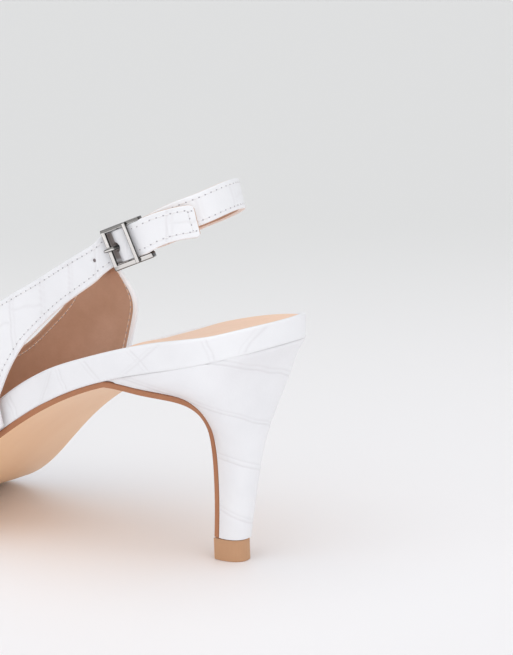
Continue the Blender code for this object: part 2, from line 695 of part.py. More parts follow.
def prong():
    """The tongue: hooked under the hinge bar, up through the strap's hole and over the front bar."""
    swing = HINGE["radius"] + GAP + PRONG_RADIUS
    knots = [(HINGE["along"] + swing * math.cos(t), HINGE["out"] + swing * math.sin(t))
             for t in np.radians((20, -20, -60, -100, -140, -175))]
    knots += [(HINGE["along"] - swing - 0.02, -1.2), (-2.85, -0.3), (-3.0, 0.6), (-3.5, 1.25),
              (-4.4, 1.45), (-5.6, 1.46), (-6.7, 1.4)]
    route = [buckle_point(*at) for at in knots]
    sections = []
    for i, point in enumerate(route):
        tangent = unit(route[min(i + 1, len(route) - 1)] - route[max(i - 1, 0)])
        side = np.cross(BUCKLE_W, tangent)
        radius = PRONG_RADIUS * (0.7 if i == len(route) - 1 else 1.0)
        sections.append([point + BUCKLE_W * radius * math.cos(t) * 1.25 + side * radius * math.sin(t)
                         for t in np.linspace(0, 2 * math.pi, 10, endpoint=False)])
    return loft("buckle_prong", sections, LOOKS["metal"], 60.0)


def punch_holes(made):
    """The holes in the lateral strap: the one in use, and the next one towards the toe."""
    swing = HINGE["radius"] + GAP + PRONG_RADIUS
    used = buckle_point(HINGE["along"] - swing - 0.1, 0.0)
    spare_y = plan_wall("lateral", SPARE_HOLE["x"])
    spare = np.array((SPARE_HOLE["x"], spare_y, SPARE_HOLE["z"]))
    for name, centre, radius in (("hole_used", used, 0.95), ("hole_spare", spare, SPARE_HOLE["radius"])):
        sections = []
        for out in (-4.0, 4.0):
            sections.append([centre + BUCKLE_N * out + BUCKLE_L * radius * math.cos(t)
                             + BUCKLE_W * radius * math.sin(t)
                             for t in np.linspace(0, 2 * math.pi, 12, endpoint=False)])
        combine(made, loft(name, sections, LOOKS["upper"]), "DIFFERENCE")


def clear_scene():
    for old in list(bpy.data.objects):
        bpy.data.objects.remove(old)


clear_scene()
LOOKS = {
    "upper": material("white leather", (0.86, 0.86, 0.88), 0.35),
    "sock": material("sock leather", (0.80, 0.60, 0.48), 0.55),
    "sole": material("tan sole", (0.83, 0.55, 0.34), 0.5),
    "top_piece": material("tan top piece", (0.62, 0.38, 0.24), 0.5),
    "metal": material("bright metal", (0.75, 0.75, 0.76), 0.15, 1.0),
}
outsole()
footbed()
heel()
top_piece()
punch_holes(upper())
back_strap()
buckle_frame()
prong()
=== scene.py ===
"""Looks of the slingback court shoe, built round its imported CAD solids."""

import math

import bmesh
import bpy
import numpy as np
from mathutils import Matrix, Vector


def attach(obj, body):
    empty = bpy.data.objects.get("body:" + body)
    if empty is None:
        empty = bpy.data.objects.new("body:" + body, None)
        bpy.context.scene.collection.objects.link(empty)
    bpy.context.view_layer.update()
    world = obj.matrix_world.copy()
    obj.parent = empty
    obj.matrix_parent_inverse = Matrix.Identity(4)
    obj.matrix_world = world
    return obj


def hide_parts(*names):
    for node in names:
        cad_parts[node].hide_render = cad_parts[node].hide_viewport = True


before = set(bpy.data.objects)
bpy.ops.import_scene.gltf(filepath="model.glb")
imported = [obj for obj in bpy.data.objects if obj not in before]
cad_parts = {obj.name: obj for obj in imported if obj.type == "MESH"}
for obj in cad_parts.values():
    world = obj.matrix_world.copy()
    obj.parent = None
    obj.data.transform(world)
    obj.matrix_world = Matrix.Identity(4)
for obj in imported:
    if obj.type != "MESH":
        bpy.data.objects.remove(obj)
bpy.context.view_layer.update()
MM = 0.001

# ---- the shoe's own sizes, millimetres
SEAT_BACK_X = -20.6
TOE_TIP_X = 228.0
SEAT_ROUND = 25.4
TOE_ROUND = 8.0
SEAT_POWER = 2.3
# along the bottom: x, height of the feather line, half widths, thickness of outsole and footbed
BOTTOM_COLUMNS = ("x", "feather", "lateral", "medial", "sole", "footbed")
BOTTOM_ROWS = (
    (-20.6, 65.0, 24.0, 24.0, 1.6, 6.1),
    (-8.0, 61.7, 24.1, 24.0, 1.6, 7.3),
    (4.8, 58.9, 24.1, 24.0, 1.6, 8.1),
    (34.8, 51.4, 23.4, 23.0, 1.6, 8.1),
    (64.8, 36.5, 24.6, 21.4, 1.7, 9.5),
    (80.0, 24.8, 29.2, 23.6, 1.8, 8.0),
    (94.8, 13.5, 35.0, 27.0, 2.0, 6.5),
    (112.0, 5.2, 40.4, 30.8, 2.3, 5.0),
    (128.0, 2.8, 40.8, 32.5, 2.5, 4.0),
    (146.0, 3.0, 36.9, 31.6, 2.5, 4.0),
    (163.0, 3.7, 31.0, 27.8, 2.5, 4.0),
    (180.0, 4.9, 23.6, 21.6, 2.5, 4.0),
    (196.0, 6.5, 16.3, 14.6, 2.5, 3.8),
    (212.0, 8.4, 8.6, 7.8, 2.5, 3.5),
    (228.0, 10.4, 1.5, 1.5, 2.5, 3.0),
)
RIDGE_ROWS = (  # x and z of the upper's ridge
    (20.0, 130.0), (40.0, 119.0), (62.0, 105.0), (80.0, 92.0), (95.0, 79.0), (110.0, 65.0),
    (125.0, 51.8), (141.0, 41.0), (155.0, 35.0), (170.0, 30.8), (185.0, 27.5), (200.0, 24.6),
    (212.0, 22.2), (220.0, 20.4), (230.0, 18.0),
)
LATERAL_TOPLINE_ROWS = (  # x and z of the collar's edge
    (24.6, 94.2), (31.5, 90.2), (38.7, 86.4), (46.5, 82.1), (54.4, 78.0), (62.5, 73.7),
    (80.0, 64.6), (100.0, 54.8), (115.0, 48.2), (128.0, 43.3), (136.0, 41.2), (141.0, 40.6),
)
MEDIAL_TOPLINE_ROWS = (
    (66.5, 84.6), (70.0, 82.0), (74.0, 77.3), (78.0, 70.4), (82.0, 64.7), (87.0, 59.8),
    (91.5, 56.0), (98.0, 50.9), (104.0, 47.4), (112.0, 44.3), (122.0, 42.0), (132.0, 40.9),
    (141.0, 40.6),
)
THROAT_X = 141.0
FEATHER_OUT = 1.8
ARCH_POWER = 2.3
NOSE_ROUND = 13.0
NOSE_TIP_X = TOE_TIP_X + FEATHER_OUT
# where each row of a quarter starts, x and z or None on the feather line, and its x at the topline
LATERAL_QUARTER_ROWS = (
    (104.0, None, 107.5), (94.0, None, 99.5), (84.0, None, 91.5), (74.0, None, 83.5),
    (64.4, None, 75.5), (65.0, 44.0, 72.3), (63.7, 47.8, 69.6), (61.2, 52.6, 66.2),
    (57.7, 57.9, 62.4), (53.3, 63.4, 58.0), (47.4, 68.7, 52.3), (39.6, 74.6, 44.3),
    (32.4, 79.2, 37.0), (27.4, 82.4, 31.8),
)
MEDIAL_QUARTER_ROWS = (
    (104.0, None, 108.5), (94.0, None, 101.8), (84.0, None, 96.0), (74.0, None, 90.8),
    (64.0, None, 86.0), (56.6, None, 81.8), (57.1, 48.0, 79.2), (56.3, 54.0, 76.8),
    (55.1, 60.0, 74.6), (54.6, 64.4, 72.8), (55.8, 68.2, 71.2), (58.4, 71.8, 69.8),
    (61.3, 75.6, 68.6), (63.8, 79.4, 67.6), (65.4, 82.6, 66.8),
)
HEEL_ROWS = (  # front x, front z, front half width, half width, rear x, rear z
    (26.0, 53.6, 22.9, 24.0, -20.4, 64.7),
    (20.5, 52.9, 22.1, 23.6, -18.6, 62.4),
    (15.0, 52.1, 21.3, 23.1, -16.7, 60.2),
    (8.0, 51.3, 19.8, 21.9, -14.6, 57.2),
    (2.5, 50.0, 18.0, 20.0, -13.0, 53.8),
    (-0.2, 47.2, 15.4, 17.2, -11.9, 50.0),
    (-0.9, 43.8, 12.6, 14.2, -11.1, 45.6),
    (-0.5, 39.2, 9.2, 10.8, -10.3, 40.3),
    (0.2, 34.1, 7.0, 8.0, -9.5, 34.7),
    (0.7, 29.5, 5.8, 6.4, -8.8, 29.7),
    (1.2, 22.5, 4.9, 5.3, -7.6, 22.5),
    (1.8, 14.5, 4.3, 4.7, -6.2, 14.5),
    (2.5, 6.7, 4.0, 4.3, -4.9, 6.7),
)
BUCKLE_CENTRE = np.array((16.75, 22.6, 93.5))
BUCKLE_ALONG = np.array((-10.4, -4.25, 4.2))
BUCKLE_UP = np.array((3.4, 1.25, 10.7))
REAR_BAR = (5.4, -1.6, 0.6)  # along, out, radius
GAP = 0.3  # between neighbours
STRAP_HALF = 4.35
STRAP_THICK = 2.0
TAIL_THICK = 1.4
LOOP = (29.6, 31.3, 24.4)  # the strap round the heel from above: middle x, half length, half width
LOOP_ROWS = (  # angle round the loop, height, outward lean in degrees
    (52.0, 100.2, 4.0), (67.0, 102.3, 8.0), (85.0, 104.3, 11.5), (103.0, 104.9, 13.0),
    (121.0, 103.9, 12.0), (140.0, 101.6, 8.0), (158.0, 98.6, 4.0), (175.0, 95.4, 0.0),
)
STRAP_INNER_ROWS = ((45.0, 88.2), (56.0, 85.0), (64.0, 81.0), (68.5, 78.0))
TAIL_ROUTE = (  # the lateral strap's way through the buckle, along, out and up in its axes
    (-9.6, -1.85, -1.1), (-7.2, -2.0, -0.35), (-5.6, -2.25, 0.0), (-4.5, -2.25, 0.0), (-3.7, -1.8, 0.0),
    (-3.0, -1.05, 0.0), (-2.3, -0.6, 0.0), (-1.4, -0.42, 0.0), (-0.2, -0.38, 0.0), (1.4, -0.35, 0.0),
    (2.8, 0.2, 0.0), (4.0, 0.95, 0.0), (5.2, 1.3, 0.0),
)
TAIL_END_ANGLE = 61.5
TAIL_END_SLANT = 0.1
TAIL_DROOP = 2.6
SPARE_HOLE = (27.0, 88.3, 0.62)  # x, z, radius
LATERAL_WALL_ROWS = ((20.0, 23.9), (28.0, 25.1), (36.0, 25.7), (48.0, 26.1), (62.0, 26.3), (90.0, 27.5))
MEDIAL_WALL = 26.4
WALL_RISE = 32.0  # height over which the foot's width becomes the wall's
BULGE, BULGE_RISE = 1.3, 44.0  # of the wall outwards, and how high it goes
BULGING = (48.0, 60.0)  # x from and to which the wall's bulge comes in
ARCHING = (74.0, 118.0)  # x from and to which the wall turns into an arch over the foot
RIDGE_Y = -5.0
RIDGE_ASIDE = (215.0, 150.0)  # x from and to which the ridge moves aside
SEAM = 0.2
SIGN = {"lateral": 1.0, "medial": -1.0}


# ---- curves
def unit(vectors):
    vectors = np.asarray(vectors, float)
    return vectors / np.maximum(np.linalg.norm(vectors, axis=-1, keepdims=True), 1e-12)


def arc_length(points):
    """How far along a line each of its points lies."""
    return np.concatenate(([0.0], np.cumsum(np.linalg.norm(np.diff(points, axis=0), axis=1))))


def spline(knots, values):
    """Natural cubic curve, straight beyond its ends, for arrays of any shape."""
    knots = np.asarray(knots, float)
    values = np.asarray(values, float)
    step = np.diff(knots)
    slope = (np.diff(values, axis=0).T / step).T
    matrix = np.eye(len(knots))
    right = np.zeros_like(values)
    for i in range(1, len(knots) - 1):
        matrix[i, i - 1 : i + 2] = step[i - 1], 2 * (step[i - 1] + step[i]), step[i]
        right[i] = 6 * (slope[i] - slope[i - 1])
    bend = np.linalg.solve(matrix, right.reshape(len(knots), -1)).reshape(right.shape)

    def at(where):
        where = np.asarray(where, float)
        held = np.clip(where, knots[0], knots[-1])
        i = np.clip(np.searchsorted(knots, held, side="right") - 1, 0, len(step) - 1)
        shape = where.shape + (1,) * (values.ndim - 1)
        h = step[i].reshape(shape)
        t = (held - knots[i]).reshape(shape)
        first = slope[i] - h * (2 * bend[i] + bend[i + 1]) / 6
        value = values[i] + first * t + bend[i] * t**2 / 2 + (bend[i + 1] - bend[i]) * t**3 / (6 * h)
        end = first + bend[i] * t + (bend[i + 1] - bend[i]) * t**2 / (2 * h)
        return value + end * (where - held).reshape(shape)

    return at


def smoothstep(low, high, x):
    """From 0 at low to 1 at high, or the other way where high is the smaller."""
    t = np.clip((np.asarray(x, float) - low) / (high - low), 0.0, 1.0)
    return t * t * (3 - 2 * t)


def eased(number):
    """Numbers from 0 to 1, closest together near 0."""
    return 1 - np.cos(np.linspace(0, math.pi / 2, number))


def rounded_end(along, length, power):
    """Share of the full width near a rounded end: 1 where the rounding starts, 0 at the tip."""
    t = np.clip(np.asarray(along, float) / length, 0.0, 1.0)
    return np.maximum(1 - t**power, 0.0) ** (1 / power)


BOTTOM = {name: spline([row[0] for row in BOTTOM_ROWS], [row[k] for row in BOTTOM_ROWS])
          for k, name in enumerate(BOTTOM_COLUMNS)}
RIDGE = spline(*zip(*RIDGE_ROWS))
TOPLINE = {"lateral": spline(*zip(*LATERAL_TOPLINE_ROWS)), "medial": spline(*zip(*MEDIAL_TOPLINE_ROWS))}
LATERAL_WALL = spline(*zip(*LATERAL_WALL_ROWS))
BUCKLE_L = unit(BUCKLE_ALONG)  # the buckle's own axes: along the strap, out and up
BUCKLE_N = unit(np.cross(BUCKLE_ALONG, BUCKLE_UP))
BUCKLE_W = np.cross(BUCKLE_N, BUCKLE_L)


def half_width(side, x, grow):
    """Half width of the bottom's outline on one side, grown outwards all round."""
    width = np.maximum(BOTTOM[side](x) + grow, 0.0)
    toe = rounded_end(x - (TOE_TIP_X - TOE_ROUND), TOE_ROUND + grow, 2.0)
    seat = rounded_end((SEAT_BACK_X + SEAT_ROUND) - x, SEAT_ROUND + grow, SEAT_POWER)
    return width * toe * seat


def spread(x, grow_back, grow_front):
    """Places along the bottom, moved so that its ends reach further back and forward."""
    share = (x - SEAT_BACK_X) / (TOE_TIP_X - SEAT_BACK_X)
    return x - grow_back + share * (grow_back + grow_front)


# ---- meshes
def link_object(name, data):
    made = bpy.data.objects.new(name, data)
    bpy.context.collection.objects.link(made)
    return made


def new_object(name, points, faces, looks, face_looks, depth):
    """A mesh from points in millimetres; depth, kept as the crease attribute, is how deep in a crease each
    point lies, and below 0 how much painted shade it gets.
    """
    mesh = bpy.data.meshes.new(name)
    mesh.from_pydata((np.asarray(points) * MM).tolist(), [], [list(map(int, f)) for f in faces])
    layer = mesh.attributes.new("crease", "FLOAT", "POINT")
    layer.data.foreach_set("value", np.asarray(depth, np.float32))
    for look in looks:
        mesh.materials.append(look)
    mesh.polygons.foreach_set("material_index", np.asarray(face_looks, np.int32))
    body = bmesh.new()
    body.from_mesh(mesh)
    bmesh.ops.remove_doubles(body, verts=body.verts, dist=2e-6)
    bmesh.ops.dissolve_degenerate(body, edges=body.edges, dist=1e-7)
    bmesh.ops.recalc_face_normals(body, faces=body.faces)
    body.to_mesh(mesh)
    body.free()
    mesh.shade_smooth()
    return link_object(name, mesh)


class Builder:
    """Gathers grids of points into one mesh."""

    def __init__(self):
        self.points = []
        self.faces = []
        self.looks = []
        self.depth = []
        self.count = 0

    def grid(self, points, look=0, depth=None, wrap=False):
        """Quads over an array of rows by columns by 3; wrap joins the last column to the first."""
        points = np.asarray(points, float)
        rows, columns = points.shape[:2]
        index = np.arange(rows * columns).reshape(rows, columns) + self.count
        if wrap:
            index = np.concatenate((index, index[:, :1]), axis=1)
        quads = np.stack((index[:-1, :-1], index[:-1, 1:], index[1:, 1:], index[1:, :-1]), axis=-1)
        self.faces += quads.reshape(-1, 4).tolist()
        self.looks += [look] * (quads.shape[0] * quads.shape[1])
        self.points.append(points.reshape(-1, 3))
        self.depth.append(np.zeros(rows * columns) if depth is None else np.asarray(depth).reshape(-1))
        self.count += rows * columns

    def cap(self, ring):
        """A fan over a closed ring of points."""
        ring = np.asarray(ring, float)
        middle = self.count + len(ring)
        for k in range(len(ring)):
            self.faces.append([self.count + k, self.count + (k + 1) % len(ring), middle])
            self.looks.append(0)
        self.points += [ring, ring.mean(axis=0)[None]]
        self.depth.append(np.zeros(len(ring) + 1))
        self.count += len(ring) + 1

    def make(self, name, looks):
        return new_object(name, np.concatenate(self.points), self.faces, looks, self.looks,
                          np.concatenate(self.depth))


def ring_angles(number):
    return np.linspace(0, 2 * np.pi, number, endpoint=False)


def across_shoe(x, lateral, medial, z, across):
    """A sheet over the shoe's width, across running from -1 at the medial edge to 1 at the lateral."""
    y = np.where(across > 0, lateral[:, None], medial[:, None]) * across
    return np.stack(np.broadcast_arrays(x[:, None], y, z), axis=-1)


def grid_normals(points):
    along = np.gradient(points, axis=0)
    across = np.gradient(points, axis=1)
    return unit(np.cross(along, across))


# ---- reptile-scale embossing
CREASE = 0.12  # how deep a crease is pressed


def hashed(i, j, salt):
    """A number from 0 to 1 that looks random, always the same for the same three."""
    value = np.sin(i * 127.1 + j * 311.7 + salt * 74.7) * 43758.5453
    return value - np.floor(value)


def scale_depth(u, v, pitch=12.5, wide=15.0, width=0.42, salt=1.0):
    """How deep in a crease a place on the leather lies, 0 to 1: rows of wide scales across the shoe."""
    bent = u + 1.3 * np.sin(v * 0.085 + salt) + 0.35 * np.sin(v * 0.31 + 1.7 * salt)
    row = np.floor(bent / pitch)
    depth = np.zeros(u.shape)
    for d in (0, 1):
        line = (row + d + 0.24 * (hashed(row + d, 1.0, salt) - 0.5)) * pitch
        off = bent - line + 0.12 * np.sin(v * 0.8 + (row + d) * 2.0)
        second = off - 1.2 - 0.5 * hashed(row + d, 2.0, salt)
        depth = np.maximum(depth, np.exp(-((off / width) ** 2)))
        depth = np.maximum(depth, 0.55 * np.exp(-((second / width) ** 2)))
    shift = hashed(row, 5.0, salt) * wide
    cell = np.floor((v + shift) / wide)
    for d in (0, 1):
        place = (cell + d + 0.34 * (hashed(cell + d, row, salt) - 0.5)) * wide - shift
        lean = 0.5 * (hashed(row, cell + d, salt + 3) - 0.5)
        off = v - place - lean * (bent - (row + 0.5) * pitch) + 0.2 * np.sin(bent * 0.7 + cell)
        depth = np.maximum(depth, 0.6 * np.exp(-((off / width) ** 2)))
    return depth


def embossed(points, normals, depth):
    return points - normals * (depth * CREASE)[..., None]


# ---- materials
# colours of the plating in the open and in painted shade near other surfaces
METAL_PAINTED_SHADE = (0.10, 0.095, 0.09)
METAL_BRIGHT = (0.80, 0.775, 0.745)
# painted reflection: greys multiplied in by which way a face turns, up or down and along the strap
METAL_PAINTED_REFLECTION_RISING = ((0.0, 0.1), (0.28, 0.2), (0.345, 0.95), (0.53, 1.0),
                (0.6, 0.34), (0.75, 0.22), (0.9, 0.35), (1.0, 0.5))
METAL_PAINTED_REFLECTION_ALONG = ((0.0, 1.0), (0.25, 1.0), (0.45, 0.15), (0.8, 0.2), (1.0, 0.35))
METAL_SHADE_REACH = 0.0020  # metres within which another surface paints shade on the plating
WHITE_LOW = (0.83, 0.83, 0.85)
WHITE_HIGH = (0.87, 0.87, 0.89)
# painted shade: in the creases, where surfaces meet, and where the buckle would shade the strap
WHITE_CREASE_SHADE = (0.79, 0.78, 0.80)
WHITE_CONTACT_SHADE = (0.60, 0.55, 0.54)
WHITE_BUCKLE_SHADE = (0.26, 0.215, 0.20)
CONTACT_SHADE_REACH = 0.0016  # metres within which another surface paints shade on the leather


def nodes_of(name):
    """A new material, its node tree and its shader."""
    made = bpy.data.materials.new(name)
    made.use_nodes = True
    tree = made.node_tree
    return made, tree, tree.nodes["Principled BSDF"]


def feed(tree, node, inputs):
    """Sets inputs of a node by name or number: a socket is linked, anything else is the value."""
    for key, value in inputs.items():
        if isinstance(value, bpy.types.NodeSocket):
            tree.links.new(value, node.inputs[key])
        else:
            node.inputs[key].default_value = value


def add_node(tree, kind, inputs=None, **settings):
    node = tree.nodes.new(kind)
    for key, value in settings.items():
        setattr(node, key, value)
    feed(tree, node, inputs or {})
    return node


def object_coordinates(tree):
    return add_node(tree, "ShaderNodeTexCoord").outputs["Object"]


def bump(tree, shader, layers):
    """A chain of bumps: each layer is a height socket, a distance in metres and a strength."""
    inputs = {}
    for height, distance, strength in layers:
        inputs = {**inputs, "Height": height, "Distance": distance, "Strength": strength}
        inputs = {"Normal": add_node(tree, "ShaderNodeBump", inputs).outputs["Normal"]}
    feed(tree, shader, inputs)


def noise(tree, place, scale, detail=3.0, rough=0.5):
    inputs = {"Vector": place, "Scale": scale, "Detail": detail, "Roughness": rough}
    return add_node(tree, "ShaderNodeTexNoise", inputs).outputs["Fac"]


def pores(tree, place, scale):
    return add_node(tree, "ShaderNodeTexVoronoi", {"Vector": place, "Scale": scale}).outputs["Distance"]


def nearness(tree, reach, samples):
    """0 where another surface is near, 1 in the open."""
    return add_node(tree, "ShaderNodeAmbientOcclusion", {"Distance": reach}, samples=samples).outputs["AO"]


def between(tree, value, low, high):
    """A value from 0 to 1 brought between two numbers."""
    inputs = {"Value": value, "To Min": low, "To Max": high}
    return add_node(tree, "ShaderNodeMapRange", inputs).outputs["Result"]


def ramp(tree, value, stops):
    node = add_node(tree, "ShaderNodeValToRGB", {"Fac": value})
    elements = node.color_ramp.elements
    for k, (at, colour) in enumerate(stops):
        element = elements[k] if k < 2 else elements.new(at)
        element.position = at
        element.color = (*colour, 1.0)
    return node.outputs["Color"]


def grey_ramp(tree, value, stops):
    return ramp(tree, value, [(at, (grey, grey, grey)) for at, grey in stops])


def mixed(tree, factor, first, second, blend="MIX"):
    """Two colours mixed, each of them and the factor a socket or a value."""
    inputs = {"Factor": factor, "A": first, "B": second}
    return add_node(tree, "ShaderNodeMix", inputs, data_type="RGBA", blend_type=blend).outputs["Result"]


def white_leather():
    """White leather with painted shade: greyer in its creases, brown where the buckle would shade it and
    where surfaces meet.
    """
    made, tree, shader = nodes_of("white_embossed_leather")
    place = object_coordinates(tree)
    crease = add_node(tree, "ShaderNodeAttribute", attribute_name="crease").outputs["Fac"]
    white = ramp(tree, noise(tree, place, 60.0, 4.0, 0.6), ((0.3, WHITE_LOW), (0.7, WHITE_HIGH)))
    # painted shade in the creases
    crease_shaded = mixed(tree, crease, white, (*WHITE_CREASE_SHADE, 1.0))
    # painted shade in the buckle, where the depth is below 0
    shade = add_node(tree, "ShaderNodeMath", {0: crease, 1: -1.0}, operation="MULTIPLY", use_clamp=True)
    shaded = mixed(tree, shade.outputs["Value"], crease_shaded, (*WHITE_BUCKLE_SHADE, 1.0))
    # painted shade where another surface is near
    contact_shade = ramp(tree, nearness(tree, CONTACT_SHADE_REACH, 6), ((0.05, WHITE_CONTACT_SHADE), (0.4, (1.0, 1.0, 1.0))))
    feed(tree, shader, {
        "Base Color": mixed(tree, 1.0, shaded, contact_shade, "MULTIPLY"),
        "Roughness": between(tree, noise(tree, place, 240.0), 0.27, 0.40),
        "Coat Weight": 0.18,
        "Coat Roughness": 0.22,
    })
    bump(tree, shader, ((pores(tree, place, 1500.0), 0.00003, 0.35),
                        (noise(tree, place, 420.0, 5.0, 0.65), 0.00009, 0.35)))
    return made


def smooth_leather(name, low, high, roughness):
    made, tree, shader = nodes_of(name)
    place = object_coordinates(tree)
    cloud = noise(tree, place, 90.0, 5.0, 0.65)
    feed(tree, shader, {"Base Color": ramp(tree, cloud, ((0.32, low), (0.68, high))), "Roughness": roughness})
    bump(tree, shader, ((pores(tree, place, 1100.0), 0.00006, 0.5),
                        (noise(tree, place, 500.0, 4.0), 0.00012, 0.5)))
    return made


def sole_material(name, low, high, roughness):
    made, tree, shader = nodes_of(name)
    place = object_coordinates(tree)
    stretched = add_node(tree, "ShaderNodeMapping", {"Vector": place, "Scale": (0.5, 1.4, 1.0)})
    cloud = noise(tree, stretched.outputs["Vector"], 45.0, 4.0, 0.55)
    feed(tree, shader, {"Base Color": ramp(tree, cloud, ((0.3, low), (0.7, high))), "Roughness": roughness})
    bump(tree, shader, ((noise(tree, place, 700.0), 0.00006, 0.25),))
    return made


def chrome():
    """Polished plating with painted reflection and painted shade in its colour: faces turned up, down or
    along the strap are painted darker, and so is the plating near other surfaces.
    """
    made, tree, shader = nodes_of("polished_plating")
    place = object_coordinates(tree)
    facing = add_node(tree, "ShaderNodeNewGeometry").outputs["Normal"]
    height = add_node(tree, "ShaderNodeSeparateXYZ", {"Vector": facing}).outputs["Z"]
    rising = add_node(tree, "ShaderNodeMapRange", {"Value": height, "From Min": -1.0}).outputs["Result"]
    dot = add_node(tree, "ShaderNodeVectorMath", {0: facing, 1: BUCKLE_L.tolist()}, operation="DOT_PRODUCT")
    along = add_node(tree, "ShaderNodeMath", {0: dot.outputs["Value"]}, operation="ABSOLUTE")
    # painted shade: darker where another surface is near
    plating = ramp(tree, nearness(tree, METAL_SHADE_REACH, 8), ((0.3, METAL_PAINTED_SHADE), (0.75, METAL_BRIGHT)))
    # painted reflection: darker by which way a face turns
    for painted_reflection in (grey_ramp(tree, rising, METAL_PAINTED_REFLECTION_RISING), grey_ramp(tree, along.outputs["Value"], METAL_PAINTED_REFLECTION_ALONG)):
        plating = mixed(tree, 1.0, plating, painted_reflection, "MULTIPLY")
    feed(tree, shader, {
        "Base Color": plating,
        "Metallic": 1.0,
        "Roughness": between(tree, noise(tree, place, 800.0), 0.06, 0.16),
    })
    bump(tree, shader, ((noise(tree, place, 300.0, 2.0), 0.00003, 0.2),))
    return made


def plain(name, low, high, roughness):
    made, tree, shader = nodes_of(name)
    cloud = noise(tree, object_coordinates(tree), 400.0)
    feed(tree, shader, {"Base Color": ramp(tree, cloud, ((0.3, low), (0.7, high))), "Roughness": roughness})
    return made


WHITE = white_leather()
LINING = smooth_leather("tan_lining_leather", (0.47, 0.265, 0.17), (0.535, 0.31, 0.21), 0.55)
SOCK = smooth_leather("pale_sock_leather", (0.90, 0.61, 0.44), (0.93, 0.65, 0.48), 0.5)
EDGE_PAINT = plain("pale_edge_paint", (0.80, 0.66, 0.60), (0.86, 0.74, 0.68), 0.45)
SOLE = sole_material("tan_sole", (0.92, 0.595, 0.362), (0.96, 0.65, 0.415), 0.42)
SOLE_EDGE = sole_material("brown_sole_edge", (0.40, 0.16, 0.075), (0.47, 0.205, 0.10), 0.6)
CUT_EDGE = plain("tan_cut_edge", (0.55, 0.38, 0.29), (0.66, 0.48, 0.38), 0.6)
TOP_PIECE = sole_material("tan_top_piece", (0.51, 0.275, 0.147), (0.56, 0.32, 0.175), 0.5)
METAL = chrome()
THREAD = plain("white_thread", (0.80, 0.79, 0.80), (0.88, 0.87, 0.87), 0.6)
# painted shade: grey discs for the needle holes, near-black discs for the punched holes
NEEDLE_HOLE_SHADE = plain("needle_hole_shade", (0.40, 0.38, 0.41), (0.50, 0.48, 0.50), 0.8)
PUNCHED_HOLE_SHADE = plain("punched_hole_shade", (0.16, 0.13, 0.13), (0.24, 0.2, 0.2), 0.8)
TAN_THREAD = plain("tan_thread", (0.70, 0.50, 0.38), (0.78, 0.58, 0.45), 0.6)


# ---- the upper's surface
FINE = 1.0
COLUMN_COUNT = {"lateral": int(120 * FINE) // 4 * 4, "medial": int(88 * FINE) // 4 * 4}
ROW_DENSITY = {"lateral": 1.5, "medial": 1.0}
THROAT_ROWS = 58
THROAT_BACK = 0.7
THROAT_POWER = 2.5
QUARTER = {"lateral": LATERAL_QUARTER_ROWS, "medial": MEDIAL_QUARTER_ROWS}
CORNER = {"lateral": 4, "medial": 5}  # the last quarter row that starts on the feather line


def count(number):
    return max(int(number * FINE), 3)


def corner_rows(side):
    """How many rows the sheet has from the throat's end to the quarter's lower corner."""
    return count(10 * ROW_DENSITY[side] * CORNER[side])


def surface(side, x, turn):
    """Outer face of the upper: x, and an angle from 0 at the feather line to 90 degrees at the ridge."""
    x, turn = np.broadcast_arrays(np.asarray(x, float), np.asarray(turn, float))
    base = BOTTOM["feather"](x)
    nose = rounded_end(x - (NOSE_TIP_X - NOSE_ROUND), NOSE_ROUND, 2.0)
    height = (RIDGE(x) - base) * nose
    foot = half_width(side, x, FEATHER_OUT)
    ridge_y = SIGN[side] * RIDGE_Y * smoothstep(*RIDGE_ASIDE, x)
    z = base + height * np.maximum(np.sin(turn), 0.0) ** (2 / ARCH_POWER)
    arch = ridge_y + (foot - ridge_y) * np.maximum(np.cos(turn), 0.0) ** (2 / ARCH_POWER)
    rise = z - base
    top = LATERAL_WALL(x) if side == "lateral" else MEDIAL_WALL
    wall = foot + (top - foot) * smoothstep(0.0, WALL_RISE, rise)
    wall = wall + BULGE * np.sin(np.pi * np.minimum(rise / BULGE_RISE, 1.0)) * smoothstep(*BULGING, x)
    blend = smoothstep(*ARCHING, x)
    return np.stack((x, SIGN[side] * ((1 - blend) * wall + blend * arch), z), axis=-1)


def surface_normals(side, x, turn):
    """Outward normals of that surface, from small steps both ways."""
    step, small_turn = 0.02, 0.002
    turn = np.clip(turn, 0.003, math.pi / 2 - 0.003)
    x = np.minimum(x, NOSE_TIP_X - 0.05)
    ahead = surface(side, x + step, turn) - surface(side, x - step, turn)
    up = surface(side, x, turn + small_turn) - surface(side, x, turn - small_turn)
    return unit(np.cross(ahead, up)) * -SIGN[side]


def turn_at(x, z):
    """The angle at which the surface has a given height."""
    base = BOTTOM["feather"](x)
    share = np.clip((z - base) / (RIDGE(x) - base), 0.0, 1.0)
    return np.arcsin(share ** (ARCH_POWER / 2))


def throat_line(side):
    """The topline from the throat's middle back to the first quarter row: x and turn."""
    back_x = THROAT_X - THROAT_BACK
    edge = math.pi / 2 - turn_at(back_x, TOPLINE[side](back_x))
    share = np.linspace(0, 1, 40)
    straight = np.linspace(back_x, QUARTER[side][0][2], 120)[1:]
    x = np.concatenate((THROAT_X - THROAT_BACK * share**THROAT_POWER, straight))
    turn = np.concatenate((math.pi / 2 - edge * share, turn_at(straight, TOPLINE[side](straight))))
    return x, turn


